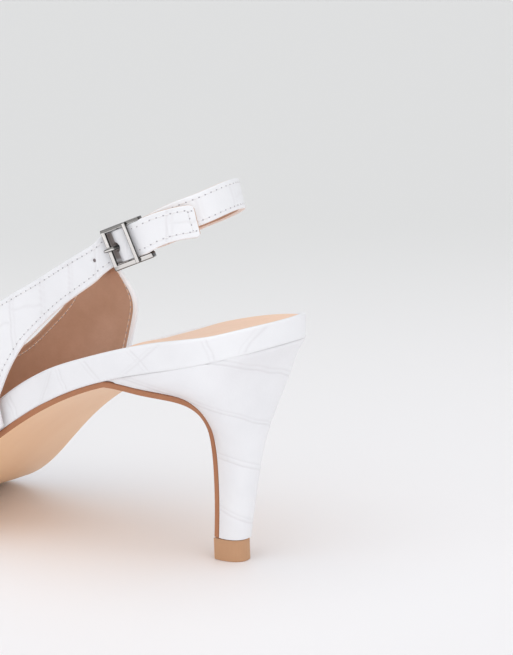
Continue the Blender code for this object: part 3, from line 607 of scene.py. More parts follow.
def sheet_parameters(side):
    """Each row's x and turn at both ends and place in the quarter's table, and how many rows are closed."""
    table = QUARTER[side]
    corner, last = CORNER[side], len(table) - 1
    toe = NOSE_TIP_X - NOSE_ROUND * eased(count(30))
    closed = np.concatenate((toe, np.linspace(toe[-1], THROAT_X, count(110))[1:]))

    line_x, line_turn = throat_line(side)
    length = arc_length(surface(side, line_x, line_turn))
    share = np.linspace(0, 1, count(THROAT_ROWS))[1:]
    throat_foot = THROAT_X + (table[0][0] - THROAT_X) * share
    throat_x, throat_turn = (np.interp(share * length[-1], length, line) for line in (line_x, line_turn))

    high_curve = spline(range(last + 1), [row[2] for row in table])
    before = spline(range(corner + 1), [row[0] for row in table[: corner + 1]])
    foot = (table[corner][0], float(BOTTOM["feather"](table[corner][0])))
    after = spline(range(corner, last + 1), [foot] + [row[:2] for row in table[corner + 1:]])
    to_corner = np.linspace(0, corner, corner_rows(side) + 1)[1:]
    to_end = np.linspace(corner, last, count(7 * ROW_DENSITY[side] * (last - corner)) + 1)[1:]
    low_x, low_z = after(to_end).T
    at = np.concatenate((to_corner, to_end))
    high_x = high_curve(at)
    high_turn = turn_at(high_x, TOPLINE[side](high_x))
    low_x = np.concatenate((before(to_corner), low_x))
    low_turn = np.concatenate((np.zeros(len(to_corner)), turn_at(low_x[len(to_corner):], low_z)))

    parts = ((closed, 0.0, closed, math.pi / 2), (throat_foot, 0.0, throat_x, throat_turn),
             (low_x, low_turn, high_x, high_turn))
    rows = np.concatenate([np.stack(np.broadcast_arrays(*part)) for part in parts], axis=1)
    index = np.concatenate((np.full(len(closed) + len(share), -1.0), at))
    return *rows, index, len(closed)


# ---- straps
STRAP_ROW = 9  # the lateral quarter's row from which it turns into the strap
TAIL_START = 4.2  # where the strap's free end lies down on the back strap, along that strap
TAIL_ROUND = 1.5  # how much of its length its end is rounded over
TAIL_ROUND_ROWS = 9
TIP_WIDTH = 0.74  # share of the strap's width left at its very end
LOOP_CENTRE = 28.0


def buckle_point(along, out, up=0.0):
    return BUCKLE_CENTRE + BUCKLE_L * along + BUCKLE_N * out + BUCKLE_W * up


def loop_plan(angle):
    t = math.radians(angle)
    return LOOP[0] - LOOP[1] * math.sin(t), LOOP[2] * math.cos(t)


def base_curve():
    """The back strap's outer face down its middle, and its lean, over the length along it."""
    points = [buckle_point(*at) for at in ((3.2, 0.3, 0.0), (5.4, 0.3, 0.1), (7.8, 0.0, 0.55))]
    points += [np.array((*loop_plan(angle), z)) for angle, z, _ in LOOP_ROWS]
    points += [np.array((x, -LOOP[2], z)) for x, z in STRAP_INNER_ROWS]
    leans = [0.0, 0.0, 1.0, *(lean for _, _, lean in LOOP_ROWS), *(0.0 for _ in STRAP_INNER_ROWS)]
    lengths = arc_length(np.array(points))
    return spline(lengths, points), spline(lengths, leans), lengths


BASE, LEAN, BASE_LENGTHS = base_curve()


def ribbon_frame(at):
    """Tangent, outward normal and upward width direction of the back strap at a length along it."""
    tangent = unit(BASE(at + 0.2) - BASE(at - 0.2))
    here = BASE(at)
    flat = unit(np.array((tangent[1], -tangent[0], 0.0)))
    outward = flat if np.dot(flat, here - (LOOP_CENTRE, 0.0, here[2])) > 0 else -flat
    tilt = math.radians(float(LEAN(at)))
    width = np.array((0.0, 0.0, 1.0)) * math.cos(tilt) - outward * math.sin(tilt)
    width = unit(width - np.dot(width, tangent) * tangent)
    normal = np.cross(width, tangent)
    return tangent, unit(normal * np.sign(np.dot(normal, outward))), width


def tail_knots():
    """Rows of the lateral strap beyond the quarter: their middles and their half widths as vectors."""
    middles, halves = [], []
    for along, out, up in TAIL_ROUTE:
        middles.append(buckle_point(along, out + TAIL_THICK / 2, up))
        turned = unit(BUCKLE_W + BUCKLE_L * 0.16 * smoothstep(-5.5, -10.0, along))
        halves.append(turned * STRAP_HALF)
    tail_end = next(s for s in np.arange(5.0, 60.0, 0.1) if BASE(s)[0] < loop_plan(TAIL_END_ANGLE)[0])
    for share in np.linspace(0, 1, 16):
        at = TAIL_START + (tail_end - TAIL_START) * share
        tangent, outward, up = ribbon_frame(at)
        middles.append(BASE(at) + outward * (GAP + TAIL_THICK) - up * TAIL_DROOP * share**1.2)
        halves.append((up + tangent * TAIL_END_SLANT * share**3) * STRAP_HALF)
    return np.array(middles), np.array(halves)


def with_strap(points, normals, lift, index, closed):
    """The lateral side with its last rows led into the strap, and the strap's rows up to its round end."""
    table = LATERAL_QUARTER_ROWS
    centre = points.shape[1] // 2
    t = np.linspace(0, 1, points.shape[1])
    knot_rows = []
    for low_at, low_z, high_at in table[STRAP_ROW:]:
        low = turn_at(low_at, low_z)
        high = turn_at(high_at, TOPLINE["lateral"](high_at))
        knot_rows.append(surface("lateral", low_at + (high_at - low_at) * t, low + (high - low) * t))
    width = np.linspace(-1, 1, points.shape[1])[:, None]
    knot_rows += [middle + width * half for middle, half in zip(*tail_knots())]
    knot_rows = np.array(knot_rows)
    knots = arc_length(knot_rows[:, centre])
    curve = spline(knots, knot_rows)

    leading = index >= STRAP_ROW
    where = np.interp(index[leading], np.arange(STRAP_ROW, len(table)), knots[: len(table) - STRAP_ROW])
    share = smoothstep(STRAP_ROW, len(table) - 1, index[leading])
    turned = share[:, None, None]
    points[leading] = points[leading] * (1 - turned) + curve(where) * turned

    end = knots[-1]
    straight = np.linspace(knots[len(table) - 1 - STRAP_ROW], end - TAIL_ROUND, count(130))[1:]
    rounded = end - TAIL_ROUND + TAIL_ROUND * np.sin(np.linspace(0, np.pi / 2, TAIL_ROUND_ROWS))[1:]
    strap = np.concatenate((straight, rounded))
    rows = curve(strap)
    past = np.maximum(strap - end + TAIL_ROUND, 0) / TAIL_ROUND
    narrowed = TIP_WIDTH + (1 - TIP_WIDTH) * np.sqrt(np.maximum(1 - past**2, 0))
    middle = rows[:, centre: centre + 1]
    points = np.concatenate((points, middle + (rows - middle) * narrowed[:, None, None]))

    free = grid_normals(points)
    free *= np.sign(np.sum(free[closed:len(index)] * normals[closed:]))
    blend = np.zeros(len(points))
    blend[np.flatnonzero(leading)] = share
    blend[len(index):] = 1.0
    blend = blend[:, None, None]
    normals = np.concatenate((normals, free[len(index):]))
    lift = np.concatenate((lift, np.full(len(strap), lift[-1])))
    return points, unit(normals * (1 - blend) + free * blend), lift


def side_grid(side):
    """Outer face of one side as rows by columns, its crease coordinates, and the closed row count."""
    low_x, low_turn, high_x, high_turn, index, closed = sheet_parameters(side)
    t = np.linspace(0, 1, COLUMN_COUNT[side] + 1)
    x = low_x[:, None] + (high_x - low_x)[:, None] * t
    turn = low_turn[:, None] + (high_turn - low_turn)[:, None] * t
    points = surface(side, x, turn)
    normals = surface_normals(side, x, turn)
    lift = np.where(low_turn > 0, points[:, 0, 2] - BOTTOM["feather"](low_x), 0.0)
    if side == "lateral":
        points, normals, lift = with_strap(points, normals, lift, index, closed)
    arc = np.array([arc_length(row) for row in points])
    whole = arc[:, -1].copy()
    whole[closed:] = whole[closed - 1]
    across = whole[:, None] - (arc + lift[:, None])
    centre = points[:, COLUMN_COUNT[side] // 2]
    along = arc_length(centre)
    along = along - along[closed - 1]
    rate = np.gradient(along) / np.minimum(np.gradient(centre[:, 0]), -1e-3)
    along = along[:, None] + (points[..., 0] - centre[:, None, 0]) * np.clip(rate, -1.6, -0.9)[:, None]
    return points, normals, along, across * SIGN[side], closed


# ---- the upper's leather and lining
RIM = (  # outwards from the edge, and along the sheet's normal
    (0.0, 0.0), (0.14, -0.1), (0.26, -0.32), (0.32, -0.62), (0.32, -0.9),
    (0.25, -1.2), (0.12, -1.42), (-0.1, -1.52), (-0.4, -1.5),
)
RIM_FULLNESS = {"lateral": 1.0, "medial": 1.5}
FOLDED, TAIL_RIM, TAIL_TIP, LINED = range(4)
RIM_KINDS = ((len(RIM), 1), (2, 1), (0, 1), (2, 2))  # for each: how many steps are white, look of the others
LINING_DEPTH = 1.44
LINING_BACK = 0.7
LINING_STEP = 3
TAIL_BARE_FROM = 8.0  # beyond the buckle the tail's edge is left cut
BAR_SHADE = ((-5.6, -4.9), (-3.15, -3.5))  # along the buckle: where the painted shade of the front bar comes in and ends
# how strong the frame's fainter painted shade is, and where it comes in and ends
FRAME_SHADE, FRAME_SHADED = 0.09, ((-3.6, -3.0), (8.0, 3.0))
HOLE_SINK = 0.7
SPARE_CENTRE = np.array((SPARE_HOLE[0], float(LATERAL_WALL(SPARE_HOLE[0])), SPARE_HOLE[1]))
USED_CENTRE = buckle_point(-3.5, -0.8)
STRAP_HOLES = ((SPARE_CENTRE, SPARE_HOLE[2]), (USED_CENTRE, 1.25))


def boundary(points, normals, closed):
    """The free edge of one side, with normals and directions out of the sheet, from the nose and back."""
    edges = []
    for values in (points, normals):
        edges.append(np.concatenate((values[:, 0], values[-1, 1:-1], values[closed - 1:, -1][::-1])))
    outwards = np.concatenate((points[:, 0] - points[:, 2], points[-1, 1:-1] - points[-3, 1:-1],
                               (points[closed - 1:, -1] - points[closed - 1:, -3])[::-1]))
    return *edges, outwards


def rim_rows(edge, normals, profile, outwards):
    """Points round a folded edge, a row for each point along it."""
    out = unit(np.cross(unit(np.gradient(edge, axis=0)), normals))
    if np.sign(np.sum(out * outwards, axis=1)).sum() <= 0:
        out = -out
    return np.stack([edge + out * d + normals * n for d, n in profile], axis=1)


def add_face(leather, side, points, normals, along, across, closed):
    """The embossed face of one side, its holes pressed in; below 0 the depth marks where the buckle's shade
    is painted.
    """
    columns = points.shape[1] - 1
    from_edge = np.minimum(np.arange(columns + 1), np.arange(columns + 1)[::-1]) / 4.0
    keep = np.clip(from_edge, 0, 1) * np.ones((len(points), 1))
    keep[:closed, columns // 2:] = 1.0
    crease = scale_depth(along, across) * keep
    outer = embossed(points, normals, crease)
    if side == "lateral":
        for centre, radius in STRAP_HOLES:
            off = np.linalg.norm(points - centre, axis=-1)
            outer = outer - normals * (HOLE_SINK * smoothstep(radius + 0.25, radius - 0.25, off))[..., None]
        reach = (points - BUCKLE_CENTRE) @ BUCKLE_L
        # painted shade: the strap darkened where the front bar and the frame would shade it
        for strength, (start, end) in ((1.0, BAR_SHADE), (FRAME_SHADE, FRAME_SHADED)):
            crease = crease - strength * smoothstep(*start, reach) * smoothstep(*end, reach)
    leather.grid(outer, 0, crease)


def add_rim(leather, side, points, normals, closed):
    """The folded edge of one side, which shows cut leather on the strap's tail and the lining inside."""
    columns = points.shape[1] - 1
    edge, edge_normals, outwards = boundary(points, normals, closed)
    full = RIM_FULLNESS[side]
    profile = [(d * full, n + 0.12 * (full - 1) * (n > -0.7)) for d, n in RIM]
    rows = rim_rows(edge, edge_normals, profile, outwards)
    kind = np.full(len(edge), FOLDED)
    if side == "lateral":
        kind[(edge - BUCKLE_CENTRE) @ BUCKLE_L > TAIL_BARE_FROM] = TAIL_RIM
        kind[len(points) - 3: len(points) + columns + 1] = TAIL_TIP
    else:
        kind[len(points) + columns:] = LINED
    for part in np.split(np.arange(len(edge)), np.flatnonzero(np.diff(kind)) + 1):
        shown = np.append(part, part[-1] + 1) if part[-1] + 1 < len(edge) else part
        white_steps, other_look = RIM_KINDS[kind[part[0]]]
        if white_steps:
            leather.grid(rows[shown][:, :white_steps + 1], 0)
        if white_steps < len(RIM):
            leather.grid(rows[shown][:, white_steps:], other_look)


def add_lining(lining, points, normals, closed):
    """The lining of one side: a thin sheet behind the leather, closed along its edges."""
    columns = points.shape[1] - 1
    rows = sorted({*range(1, len(points) - 1, LINING_STEP), closed - 1, len(points) - 2})
    picked = np.ix_(rows, sorted({*range(1, columns, LINING_STEP), columns - 1, columns}))
    inside = (points - normals * LINING_DEPTH)[picked]
    behind = (points - normals * LINING_BACK)[picked]
    lining.grid(inside)
    lining.grid(behind)
    free = [k for k, row in enumerate(rows) if row >= closed - 1]
    for edge in ((slice(None), 0), (-1,), (free, -1)):
        lining.grid(np.stack((inside[edge], behind[edge]), axis=1))


def build_upper():
    """The leather, the lining, and for the stitches the grid of each side."""
    sides = {}
    leather = Builder()
    lining = Builder()
    for side in SIGN:
        points, normals, along, across, closed = side_grid(side)
        normals[0] = normals[1]
        normals[:closed, -1] = unit(normals[:closed, -1] * (1, 0, 1))
        add_face(leather, side, points, normals, along, across, closed)
        add_rim(leather, side, points, normals, closed)
        add_lining(lining, points, normals, closed)
        reach = (points[:, COLUMN_COUNT[side] // 2] - BUCKLE_CENTRE) @ BUCKLE_L
        tail_row = int(np.argmax(reach > -10.0)) or len(points)
        sides[side] = dict(points=points, normals=normals, closed=closed, tail_row=tail_row)
    made = leather.make("upper_leather", [WHITE, CUT_EDGE, LINING])
    lined = lining.make("upper_lining", [LINING])
    return made, lined, sides


# ---- stitches
STITCH_PITCH = 2.0
THREAD_SHAPE = ((0.12, 0.25), (0.2, 0.8), (0.35, 1.0), (0.65, 1.0), (0.8, 0.8), (0.88, 0.25))  # along, size
INSIDE_BUCKLE = (-6.6, 2.6)  # along the buckle, where it hides the stitches
BUCKLE_REACH = 12.0
THREAD_SINK = 0.02
THREAD_WIDE, THREAD_HIGH = 0.19, 0.16
# half length, half width and lift of each grey disc of painted shade in a needle hole
HOLE_LONG, HOLE_WIDE, HOLE_PROUD = 0.27, 0.2, 0.03


def interpolated(where, arc, values):
    """Rows of numbers given along a line, at other lengths along it."""
    return np.stack([np.interp(where, arc, column) for column in values.T], axis=-1)


def offset_line(points, normals, rows, distance, low):
    """A line on the sheet a distance inside its lower or upper edge, with its normals."""
    if not low:
        points, normals = points[:, ::-1], normals[:, ::-1]
    edge = points[:, 0]
    line, line_normals = [], []
    for r in rows:
        arc = arc_length(points[r])
        tangent = unit(edge[min(r + 1, len(edge) - 1)] - edge[max(r - 1, 0)])
        direction = unit(points[r, 3] - points[r, 0])
        slant = max(float(np.linalg.norm(np.cross(tangent, direction))), 0.35)
        at = min(distance / slant, arc[-1] * 0.48)
        line.append(interpolated(at, arc, points[r]))
        line_normals.append(interpolated(at, arc, normals[r]))
    return np.array(line), unit(np.array(line_normals))


def clear_of_buckle(line, normals):
    """The line in two parts, without the stretch inside the buckle."""
    along = (line - BUCKLE_CENTRE) @ BUCKLE_L
    near = np.linalg.norm(line - BUCKLE_CENTRE, axis=1) < BUCKLE_REACH
    hidden = near & (along > INSIDE_BUCKLE[0]) & (along < INSIDE_BUCKLE[1])
    cuts = np.flatnonzero(np.diff(hidden.astype(int))) + 1
    return [(line[part], normals[part]) for part in np.split(np.arange(len(line)), cuts)
            if not hidden[part[0]] and len(part) > 3]


def stitch_rows(line, normals, pitch, threads, holes):
    """Short sunk threads along a line, with a grey disc of painted shade for a needle hole between each pair.
    """
    arc = arc_length(line)
    inset = 0.5
    number = max(int(round((arc[-1] - 2 * inset) / pitch)), 1)
    at = np.linspace(inset, arc[-1] - inset, number + 1)
    where = interpolated(at, arc, line)
    turned = unit(interpolated(at, arc, normals))
    for k, (here, normal) in enumerate(zip(where, turned)):
        ahead = unit(where[min(k + 1, number)] - where[max(k - 1, 0)])
        side = np.cross(normal, ahead)
        # a grey disc of painted shade for the needle hole
        holes.cap([here + normal * HOLE_PROUD + (ahead * np.cos(a) * HOLE_LONG + side * np.sin(a) * HOLE_WIDE)
                   for a in ring_angles(10)])
        if k == number:
            break
        rings = []
        for share, size in THREAD_SHAPE:
            centre = here + (where[k + 1] - here) * share - normal * THREAD_SINK
            rings.append([centre + (side * np.cos(a) * THREAD_WIDE + normal * np.sin(a) * THREAD_HIGH) * size
                          for a in ring_angles(8)])
        threads.grid(np.array(rings), 0, wrap=True)


# ---- heel
HEEL_CURVE = spline(range(len(HEEL_ROWS)), HEEL_ROWS)
HEEL_FLAT, HEEL_TURN = 4, 8  # steps of a half ring along the flat side and round the back
HEEL_ARCS = ((13.4, 0.37, 0.29), (29.0, 0.2, 0.35), (42.9, 0.2, 0.35), (56.0, 0.0, 0.27))
HEEL_CREASE_WIDTH = 0.27
HEEL_LIP = 2.4  # how far the cover's thin top edge runs forward over the outsole
LIP_WIDER = 0.4


def heel_ring(row, share, around, sag):
    """One ring of the heel; around runs from 0 at the lateral breast to 1 at the medial one."""
    front_x, front_z, front_half, half, rear_x, rear_z = row
    round_from = 0.455 + (0.35 - 0.455) * share
    k = (HEEL_FLAT + HEEL_TURN) * (1 - np.abs(2 * around - 1))
    side = np.where(around <= 0.5, 1.0, -1.0)
    flat = k < HEEL_FLAT
    on_flat = np.minimum(k, HEEL_FLAT) / HEEL_FLAT
    s = np.minimum(np.sin(np.pi / 2 * (np.maximum(k, HEEL_FLAT) - HEEL_FLAT) / HEEL_TURN), 1.0)
    u = np.where(flat, round_from * k / HEEL_FLAT, round_from + (1 - round_from) * s)
    v = np.where(flat, front_half + (half - front_half) * np.sin(np.pi / 2 * on_flat),
                 half * np.maximum(1 - s**SEAT_POWER, 0) ** (1 / SEAT_POWER))
    x = front_x + u * (rear_x - front_x)
    chord = front_z + u * (rear_z - front_z)
    z = chord + sag * (BOTTOM["feather"](x) - SEAM - chord)
    return np.stack((x, side * v, z), axis=-1)


def double_creases(depth, off, width, second, strengths):
    """Adds to the depth a crease where off is 0, and a fainter one at another distance."""
    for shift, strength in zip((0.0, second), strengths):
        depth = np.maximum(depth, strength * np.exp(-(((off - shift) / width) ** 2)))
    return depth


def heel_creases(points):
    """Slanting double creases across the heel: height at its middle, slope over x, slope over y."""
    x, y, z = points[..., 0], points[..., 1], points[..., 2]
    depth = np.zeros(z.shape)
    for k, (height, over_x, over_y) in enumerate(HEEL_ARCS):
        off = z - height - over_x * x - over_y * y - 0.15 * np.sin(y * 0.5 + k * 1.7)
        depth = double_creases(depth, off, HEEL_CREASE_WIDTH, 1.3 + 0.3 * math.sin(k * 2.1), (1.0, 0.6))
    return depth


def build_heel():
    around = np.linspace(0, 1, count(168) + 1)
    last = len(HEEL_ROWS) - 1
    rows = []
    for step in np.linspace(0, last, count(300)):
        lip = max(0.0, 1 - step / 0.4) ** 2
        row = HEEL_CURVE(step) + np.array((HEEL_LIP * lip, 0, LIP_WIDER * lip**0.5, 0, 0, 0))
        rows.append(heel_ring(row, step / last, around, max(0.0, 1 - 2 * step)))
    points = np.array(rows)
    normals = grid_normals(points)
    if np.sum(normals * (points - points.mean(axis=1, keepdims=True))) < 0:
        normals = -normals
    depth = heel_creases(points) * (smoothstep(0, 0.02, around) * smoothstep(1, 0.98, around))
    body = Builder()
    body.grid(embossed(points, normals, depth), 0, depth)
    body.grid(np.stack((points[:, -1], points[:, 0]), axis=1))
    half = len(around) // 2
    for ring in (points[0], points[-1]):
        body.grid(np.stack((ring[: half + 1], ring[half:][::-1]), axis=1))
    made = body.make("heel_leather", [WHITE])
    made.data.set_sharp_from_angle(angle=math.radians(50))
    return made


# ---- footbed: white rand and tan sock
RAND_PROFILE = (  # outwards from the footbed's outline, and share of its thickness
    (-0.9, -0.034), (-0.3, -0.028), (-0.06, 0.0), (0.0, 0.045),
    *((0.0, share) for share in np.linspace(0.12, 0.84, 17)),
    (-0.03, 0.9), (-0.12, 0.945), (-0.3, 0.98), (-0.6, 0.998), (-1.0, 1.0),
    (-1.35, 0.985), (-1.7, 0.95), (-2.6, 0.5),
)
SOCK_PROFILE = ((-1.6, 0.92), (-1.35, 0.94), (-1.3, 0.96), (-1.36, 0.976), (-1.55, 0.985), (-1.9, 0.987))
SOCK_TOP = (-2.3, 0.987)
SOCK_THICK = 0.5
SOCK_SINK = 0.55
SEAT_DISH = 1.2
REAR_LIFT = 0.7
MEDIAL_LIFT = 0.7
RAND_CREASES = ((9.0, 0.98), (19.6, -1.9), (-10.85, 0.3), (40.9, 0.42), (27.8, 0.87), (-16.5, -0.5),
                (52.0, -0.7), (60.5, 0.35))
RAND_CREASE_WIDTH = 0.25


def stations(number):
    """Places along the bottom, close together at its round ends."""
    seat = SEAT_BACK_X + SEAT_ROUND * eased(count(number * 0.16))
    toe = TOE_TIP_X - TOE_ROUND * eased(count(number * 0.1))[::-1]
    middle = np.linspace(seat[-1], toe[0], count(number * 0.75))[1:-1]
    return np.concatenate((seat, middle, toe))


def footbed_inset(x):
    """How far the footbed stays inside the bottom's outline, where the upper wraps it."""
    return 0.9 * smoothstep(46.0, 54.0, x)


def footbed_row(station, grow, share):
    """x, both half widths and z along the footbed, at a share of its thickness."""
    x = spread(station, grow, grow - footbed_inset(TOE_TIP_X))
    total = grow - footbed_inset(x)
    z = BOTTOM["feather"](x) + share * BOTTOM["footbed"](x)
    return x, half_width("lateral", x, total), half_width("medial", x, total), z


def footbed_edge(side, place, profile, height):
    """Rows of an edge of the footbed along its outline."""
    rows = []
    for grow, share in profile:
        x, lateral, medial, z = footbed_row(place, grow, share)
        half = lateral if side == "lateral" else medial
        rows.append(np.stack((x, half * SIGN[side], height(side, x, z, grow, share)), axis=-1))
    return np.array(rows).transpose(1, 0, 2)


def medial_rise(x):
    """The medial edge stands a little higher, from 0 to 1, just behind the upper's rear end."""
    return smoothstep(38.0, 52.0, x) * smoothstep(59.0, 56.5, x)


def rand_height(side, x, z, grow, share):
    """The rand's height, raised at the back and where the medial edge rises."""
    rear = smoothstep(-8.0, -19.0, x) * smoothstep(0.6, 0.95, share) * smoothstep(-2.0, -1.4, grow)
    z = z + REAR_LIFT * rear
    return z + MEDIAL_LIFT * share * medial_rise(x) if side == "medial" else z


def sock_height(side, x, z, *_):
    """The sock's height, sunk below the rand's top where the upper's lining comes down to it."""
    z = z - SOCK_SINK * smoothstep(17.0, 30.0, x)
    return z + (MEDIAL_LIFT + SOCK_SINK) * medial_rise(x) if side == "medial" else z


def rand_creases(x, z, side):
    """Fine slanting creases of the rand, two of them crossing: x at its foot and slope over height."""
    depth = np.zeros(x.shape)
    level = z - BOTTOM["feather"](x)
    for k, (foot, lean) in enumerate(RAND_CREASES):
        if side == "medial":
            foot, lean = foot * 0.93 + 3.0, -lean
        off = (x - foot - lean * level - 0.15 * np.sin(level * 1.1 + k)) / math.hypot(1.0, lean)
        depth = double_creases(depth, off, RAND_CREASE_WIDTH, 1.1, (0.9, 0.45))
    return depth


def build_rand():
    """The white band round the footbed, with a strip across it above and below."""
    place = stations(1100)
    level = np.array([share for _, share in RAND_PROFILE])
    open_face = smoothstep(0.0, 0.08, level) * smoothstep(0.93, 0.86, level)
    rand = Builder()
    for side in SIGN:
        points = footbed_edge(side, place, RAND_PROFILE, rand_height)
        normals = grid_normals(points)
        normals = normals * np.sign(np.sum(normals[40:60, 6:10, 1] * SIGN[side]))
        depth = rand_creases(points[..., 0], points[..., 2], side) * open_face
        rand.grid(embossed(points, normals, depth), 0, depth)
    for grow, share in (RAND_PROFILE[0], RAND_PROFILE[-1]):
        x, lateral, medial, z = footbed_row(place, grow, share)
        rand.grid(across_shoe(x, lateral, medial, z[:, None], np.linspace(-1, 1, 5)))
    return rand.make("footbed_rand", [WHITE])


def build_sock():
    """The tan sock, dished over the heel, with its rounded edge and its underside."""
    place = stations(320)
    x, lateral, medial, z = footbed_row(place, *SOCK_TOP)
    z = sock_height("lateral", x, z)
    behind = rounded_end(SEAT_BACK_X + SEAT_ROUND - x, SEAT_ROUND + SOCK_TOP[0], SEAT_POWER)
    dish = SEAT_DISH * (1 - smoothstep(20.0, 60.0, x)) * behind
    across = np.linspace(-1, 1, count(44))
    height = z[:, None] - dish[:, None] * (1 - across**2)
    height = height + (MEDIAL_LIFT + SOCK_SINK) * medial_rise(x)[:, None] * np.maximum(-across, 0) ** 5
    top = across_shoe(x, lateral, medial, height, across)
    under = top - (0, 0, SOCK_THICK)
    sock = Builder()
    sock.grid(top)
    for side, last in (("lateral", -1), ("medial", 0)):
        edge = footbed_edge(side, place, SOCK_PROFILE, sock_height)
        sock.grid(np.concatenate((edge, top[:, last][:, None]), axis=1))
        under[:, last] = edge[:, 0]
    sock.grid(under)
    return sock.make("sock", [SOCK])


# ---- outsole
BREAST_X = HEEL_ROWS[0][0]
SOLE_PROUD = 0.9
SOLE_INSET = 0.6  # of the waist from the upper
BREAST_THICK = 1.6
SOLE_ROUND = 0.45
SOLE_SIDE = ((0.0, 0.25), (0.1, 0.05), (0.2, 0.0), (0.5, 0.0), (0.62, 0.0), (0.78, 0.03))  # share down, inset
CORNER_KEPT = 0.6  # the side keeps its corner at the breast down to this share
RIB_PITCH = 1.75
RIB_FROM, RIB_TO = 104.0, 203.0
RIB_MARGIN = 8.0
RIB_DEPTH = 0.3


def rib_depth(x, y, lateral, medial):
    """Depth of the ribbed panel of the forepart, its outline set in from the sole's edge."""
    inside = np.minimum(lateral - y, medial + y) - RIB_MARGIN
    ends = np.minimum(x - RIB_FROM, RIB_TO - x)
    panel = smoothstep(0.0, 0.5, np.minimum(inside, ends))
    wave = 0.5 - 0.5 * np.cos(2 * np.pi * x / RIB_PITCH)
    return panel * RIB_DEPTH * (0.2 + 0.8 * smoothstep(0.25, 0.75, wave))


def smoothed(values, reach):
    """Values averaged over some neighbours on both sides, the nearest counting most."""
    window = np.hanning(2 * reach + 1)
    return np.convolve(np.pad(values, reach, mode="edge"), window / window.sum(), "valid")


def sole_path():
    """Along the outsole's upper face from the toe to the heel's foot: x, z, half widths, thickness."""
    toe = TOE_TIP_X - TOE_ROUND * eased(count(24))
    fore = np.arange(TOE_TIP_X - TOE_ROUND, BREAST_X + 0.5, -0.3 / FINE)
    path = []
    for station in np.concatenate((toe[:-1], fore)):
        x = spread(station, 0.0, SOLE_PROUD)
        grow = -SOLE_INSET + (SOLE_INSET + SOLE_PROUD) * smoothstep(70.0, 115.0, x)
        path.append((x, BOTTOM["feather"](x) - SEAM, half_width("lateral", x, grow),
                     half_width("medial", x, grow), BOTTOM["sole"](x)))
    for step in np.linspace(0.1, len(HEEL_ROWS) - 1, count(96)):
        front_x, front_z, front_half = HEEL_CURVE(step)[:3]
        path.append((front_x, front_z, front_half, front_half, BREAST_THICK))
    return np.array(path, float).T


def sole_lines(sharp_x, sharp_z):
    """The upper face, its corner at the breast rounded: x, the line, its normals, what was rounded off."""
    near = np.exp(-(((sharp_x - BREAST_X) / 5.0) ** 2)) * (sharp_z > 40)
    x, z = (line + (smoothed(line, count(3) + 1) - line) * near for line in (sharp_x, sharp_z))
    tangent = unit(np.stack((np.gradient(x), np.gradient(z)), axis=-1))
    away = np.stack((tangent[:, 1], -tangent[:, 0]), axis=-1)
    away[np.where(np.abs(away[:, 1]) > 0.2, away[:, 1] > 0, away[:, 0] < 0)] *= -1
    turning = unit(np.stack([smoothed(part, count(9)) for part in away.T], axis=-1))
    bend = (np.exp(-(((x - BREAST_X) / 7.0) ** 2)) * (z > 40))[:, None]
    away = unit(away * (1 - bend) + turning * bend)
    on_breast = np.where(x > 20, smoothstep(BREAST_X + 3, BREAST_X - 1, x), 1.0)
    line = np.stack((x, z), axis=-1)
    corner = np.stack((sharp_x, sharp_z), axis=-1) - line
    return x, line + away * (SEAM * on_breast)[:, None], away, corner


def above_floor(x, z):
    """Heights under the forepart, none of them below the floor."""
    return np.where(x > 60, np.maximum(z, 0.0), z)


def side_row(side, half, inset, x, z):
    return np.stack((x, SIGN[side] * np.maximum(half - inset, 0), z), axis=-1)


def build_outsole():
    """The outsole with its ribbed panel, and the thin leather down the breast of the heel."""
    sharp_x, sharp_z, lateral, medial, thick = sole_path()
    x, line, away, corner = sole_lines(sharp_x, sharp_z)
    thick = thick + GAP - SEAM
    across = np.linspace(-1, 1, 64)
    flat = [np.maximum(half - SOLE_ROUND, 0) for half in (lateral, medial)]
    bottom = across_shoe(x, *flat, np.zeros((len(x), 1)), across)
    y = bottom[..., 1]
    drop = thick[:, None] - rib_depth(x[:, None], y, lateral[:, None], medial[:, None])
    bottom[..., 0] = line[:, :1] + away[:, :1] * drop
    bottom[..., 2] = above_floor(x[:, None], line[:, 1:] + away[:, 1:] * drop)
    sole = Builder()
    sole.grid(bottom)
    tops = []
    for side, half, last in (("lateral", lateral, -1), ("medial", medial, 0)):
        rows = []
        for share, inset in SOLE_SIDE:
            row = line + away * (share * thick)[:, None] + corner * max(0.0, 1 - share / CORNER_KEPT)
            rows.append(side_row(side, half, inset, row[:, 0], row[:, 1]))
        for turn in np.radians((30, 60)):
            row = line + away * (thick - SOLE_ROUND * (1 - math.sin(turn)))[:, None]
            inset = SOLE_ROUND * (1 - math.cos(turn))
            rows.append(side_row(side, half, inset, row[:, 0], above_floor(*row.T)))
        rows.append(bottom[:, last])
        rows = np.array(rows).transpose(1, 0, 2)
        sole.grid(rows[:, :8], 1)
        sole.grid(rows[:, 7:])
        tops.append(rows[:, 0])
    sole.grid(np.stack(tops, axis=1), 1)
    sole.grid(np.array([[tops[0][-1], bottom[-1, -1]], [tops[1][-1], bottom[-1, 0]]]))
    made = sole.make("outsole_leather", [SOLE, SOLE_EDGE])
    made.data.set_sharp_from_angle(angle=math.radians(55))
    return made


# ---- back strap
STRAP_THIN = 1.0  # its thickness round the buckle's rear bar
STRAP_EDGE = 0.55  # how much of its half width each edge takes
EDGE_ROUND = 0.35
WRAP_ROWS = 33  # rows inside the buckle and round the rear bar
SEAM_INSET = 1.25


